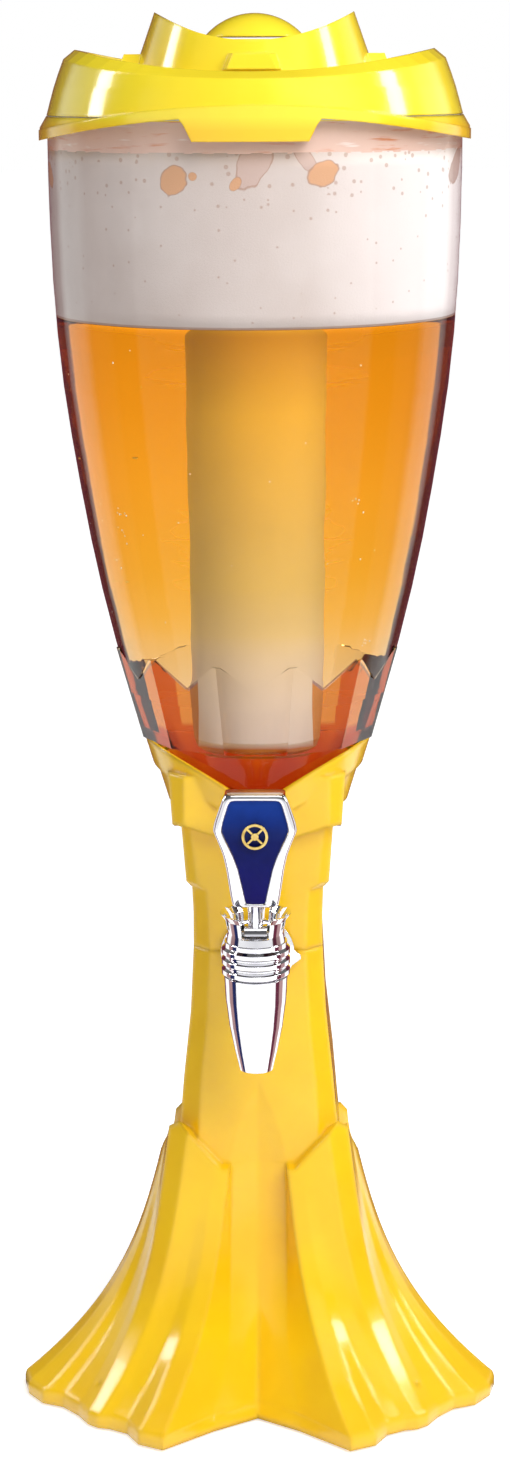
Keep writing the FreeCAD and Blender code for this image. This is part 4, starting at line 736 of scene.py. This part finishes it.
def closed_outline(sides):
    """Points (x, z) round a symmetric outline, from the middle of its lower end."""
    low, high = sides[0][0], sides[-1][0]
    right = [(sides[0][1] * step / END_STEPS, low) for step in range(END_STEPS)]
    for step in range(SIDE_STEPS + 1):
        height = low + (high - low) * step / SIDE_STEPS
        right.append((between(sides, height, 1), height))
    right += [(sides[-1][1] * (1 - step / END_STEPS), high) for step in range(1, END_STEPS)]
    top = [(0.0, high)]
    return right + top + [(-x, z) for x, z in reversed(right[1:])]


def smooth_piece(name, points, faces, material, body):
    piece = mesh_object(name, points, faces, smooth=True)
    piece.data.materials.append(material)
    soft = piece.modifiers.new("soft", "SUBSURF")
    soft.levels = 1
    soft.render_levels = 1
    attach(piece, body)
    return piece


def handle_point(outer, inner, share, place):
    """Point between the two outlines, at a place from the handle's front (0) to its back (1)."""
    x = outer[0] + (inner[0] - outer[0]) * share
    z = outer[1] + (inner[1] - outer[1]) * share
    depth = between(HANDLE_SIDES, z, 2)
    return (x, TAP_Y - depth + 2 * depth * place, z)


def make_shell(outer, inner, chrome):
    """Chrome body of the handle, with a rounded frame and a flat back."""
    points = []
    for share, place in FRAME_SECTION:
        points += [handle_point(a, b, share, place) for a, b in zip(outer, inner)]
    count = len(outer)
    faces = ring_faces(len(FRAME_SECTION), count)
    back = len(points)
    points += [handle_point(a, b, BACK_INSET, 1.0) for a, b in zip(outer, inner)]
    for step in range(count):
        after = (step + 1) % count
        faces.append((after, step, back + step, back + after))
    faces.append(tuple(back + step for step in reversed(range(count))))
    shell = smooth_piece("handle_shell", points, faces, chrome, "handle")
    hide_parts("handle_frame")


def make_panel(outline, blue):
    """Slightly domed blue panel."""
    points = []
    for scale in PANEL_RINGS:
        for x, z in outline:
            spot = (x * scale, PANEL_MIDDLE_Z + (z - PANEL_MIDDLE_Z) * scale)
            flat = handle_point(spot, (0, 0), 0.0, PANEL_PLACE)
            points.append((flat[0], flat[1] - PANEL_CROWN * (1 - scale), flat[2]))
    count = len(outline)
    faces = ring_faces(len(PANEL_RINGS), count)
    last = (len(PANEL_RINGS) - 1) * count
    faces.append(tuple(range(last, last + count)))
    panel = smooth_piece("handle_panel", points, faces, blue, "handle")
    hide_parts("handle_inlay")


def make_handle(chrome, blue):
    outer = closed_outline(HANDLE_SIDES)
    inner = closed_outline(PANEL_SIDES)
    make_shell(outer, inner, chrome)
    make_panel(inner, blue)


# ---------------------------------------------------------------- wall behind the rear petals

WEB_LOW = 0.0775
WEB_TOP = 0.0925
WEB_INSET = 0.0002
WEB_THICK = 0.0012
WEB_STEPS = 96
OUTSIDE = 0.3             # a distance from the axis that is clear of the tower


def make_web(yellow):
    """Wall round the rear half that carries the column's lower edge down behind the rear petals.

    It closes the opening that the CAD's foot has there.
    """
    tree = BVHTree.FromObject(nodes["foot_shell"], bpy.context.evaluated_depsgraph_get())
    points = []
    for step in range(WEB_STEPS + 1):
        angle = math.pi * step / WEB_STEPS
        start = Vector(on_circle(OUTSIDE, angle, WEB_TOP))
        hit = tree.ray_cast(start, Vector(on_circle(-1.0, angle, 0)))[0]
        outer = math.hypot(hit.x, hit.y) - WEB_INSET
        inner = outer - WEB_THICK
        for radius, height in ((outer, WEB_LOW), (outer, WEB_TOP), (inner, WEB_TOP), (inner, WEB_LOW)):
            points.append(on_circle(radius, angle, height))
    faces = [(3, 2, 1, 0), tuple(4 * WEB_STEPS + corner for corner in range(4))]
    for step in range(WEB_STEPS):
        here, after = 4 * step, 4 * (step + 1)
        for edge in range(4):
            above = (edge + 1) % 4
            faces.append((here + edge, after + edge, after + above, here + above))
    web = mesh_object("rear_web", points, faces)
    web.data.materials.append(yellow)
    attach(web, "stand")


# ---------------------------------------------------------------- dressing the nodes


def dress(names, material):
    for name in names:
        mesh = nodes[name].data
        mesh.materials.clear()
        mesh.materials.append(material)


def dress_all():
    yellow = plastic("yellow_abs", light=(1.0, 0.62, 0.008), dark=(0.97, 0.565, 0.006),
                     roughness=0.16, coat=0.3, grain=0.00003, edge=0.0034)
    lid = plastic("lid_yellow", light=(1.0, 0.80, 0.035), dark=(0.98, 0.76, 0.028),
                  roughness=0.14, coat=0.5, grain=0.00003, edge=0.0012, lip_shade=(0.98, 0.60, 0.012))
    silicone = plastic("seal_silicone", light=(0.72, 0.71, 0.69), dark=(0.66, 0.65, 0.63),
                       roughness=0.55, coat=0.0, grain=0.00004)
    rubber = plastic("black_rubber", light=(0.04, 0.04, 0.04), dark=(0.02, 0.02, 0.02),
                     roughness=0.7, coat=0.0, grain=0.0001)
    white = plastic("white_plastic", light=(0.84, 0.84, 0.83), dark=(0.78, 0.78, 0.77),
                    roughness=0.4, coat=0.0, grain=0.00004)
    chrome = metal("chrome", light=(0.93, 0.93, 0.95), dark=(0.86, 0.86, 0.9),
                   roughness=0.05, grain=0.00002, scale=90.0)
    gold = metal("emblem_gold", light=(0.86, 0.66, 0.24), dark=(0.62, 0.42, 0.12),
                 roughness=0.16, grain=0.00004, scale=300.0)
    steel = metal("steel", light=(0.62, 0.62, 0.63), dark=(0.5, 0.5, 0.52),
                  roughness=0.3, grain=0.00004, scale=200.0)
    dress(["foot_shell", "stand_upper"], yellow)
    make_web(yellow)
    dress(["lid_shell", "crown_cap"], lid)
    dress(["cup"], clear_plastic())
    dress(["ice_tube"], frosted_plastic())
    dress(["tap_body", "tap_bonnet", "tap_guard", "tap_flange", "lever"], chrome)
    make_handle(chrome, enamel())
    dress(["handle_emblem"], gold)
    dress(["neck_gasket", "lid_gasket", "tube_seal", "valve_seal"], silicone)
    dress(["rubber_feet", "outer_washer"], rubber)
    dress(["neck_chamber", "base_plate", "plunger"], white)
    dress(["base_screws", "shank_nut", "pivot_pin"], steel)


make_camera()
make_lamps()
make_world()
make_floor()
dress_all()
make_drink()

bpy.context.scene.view_settings.view_transform = "Standard"
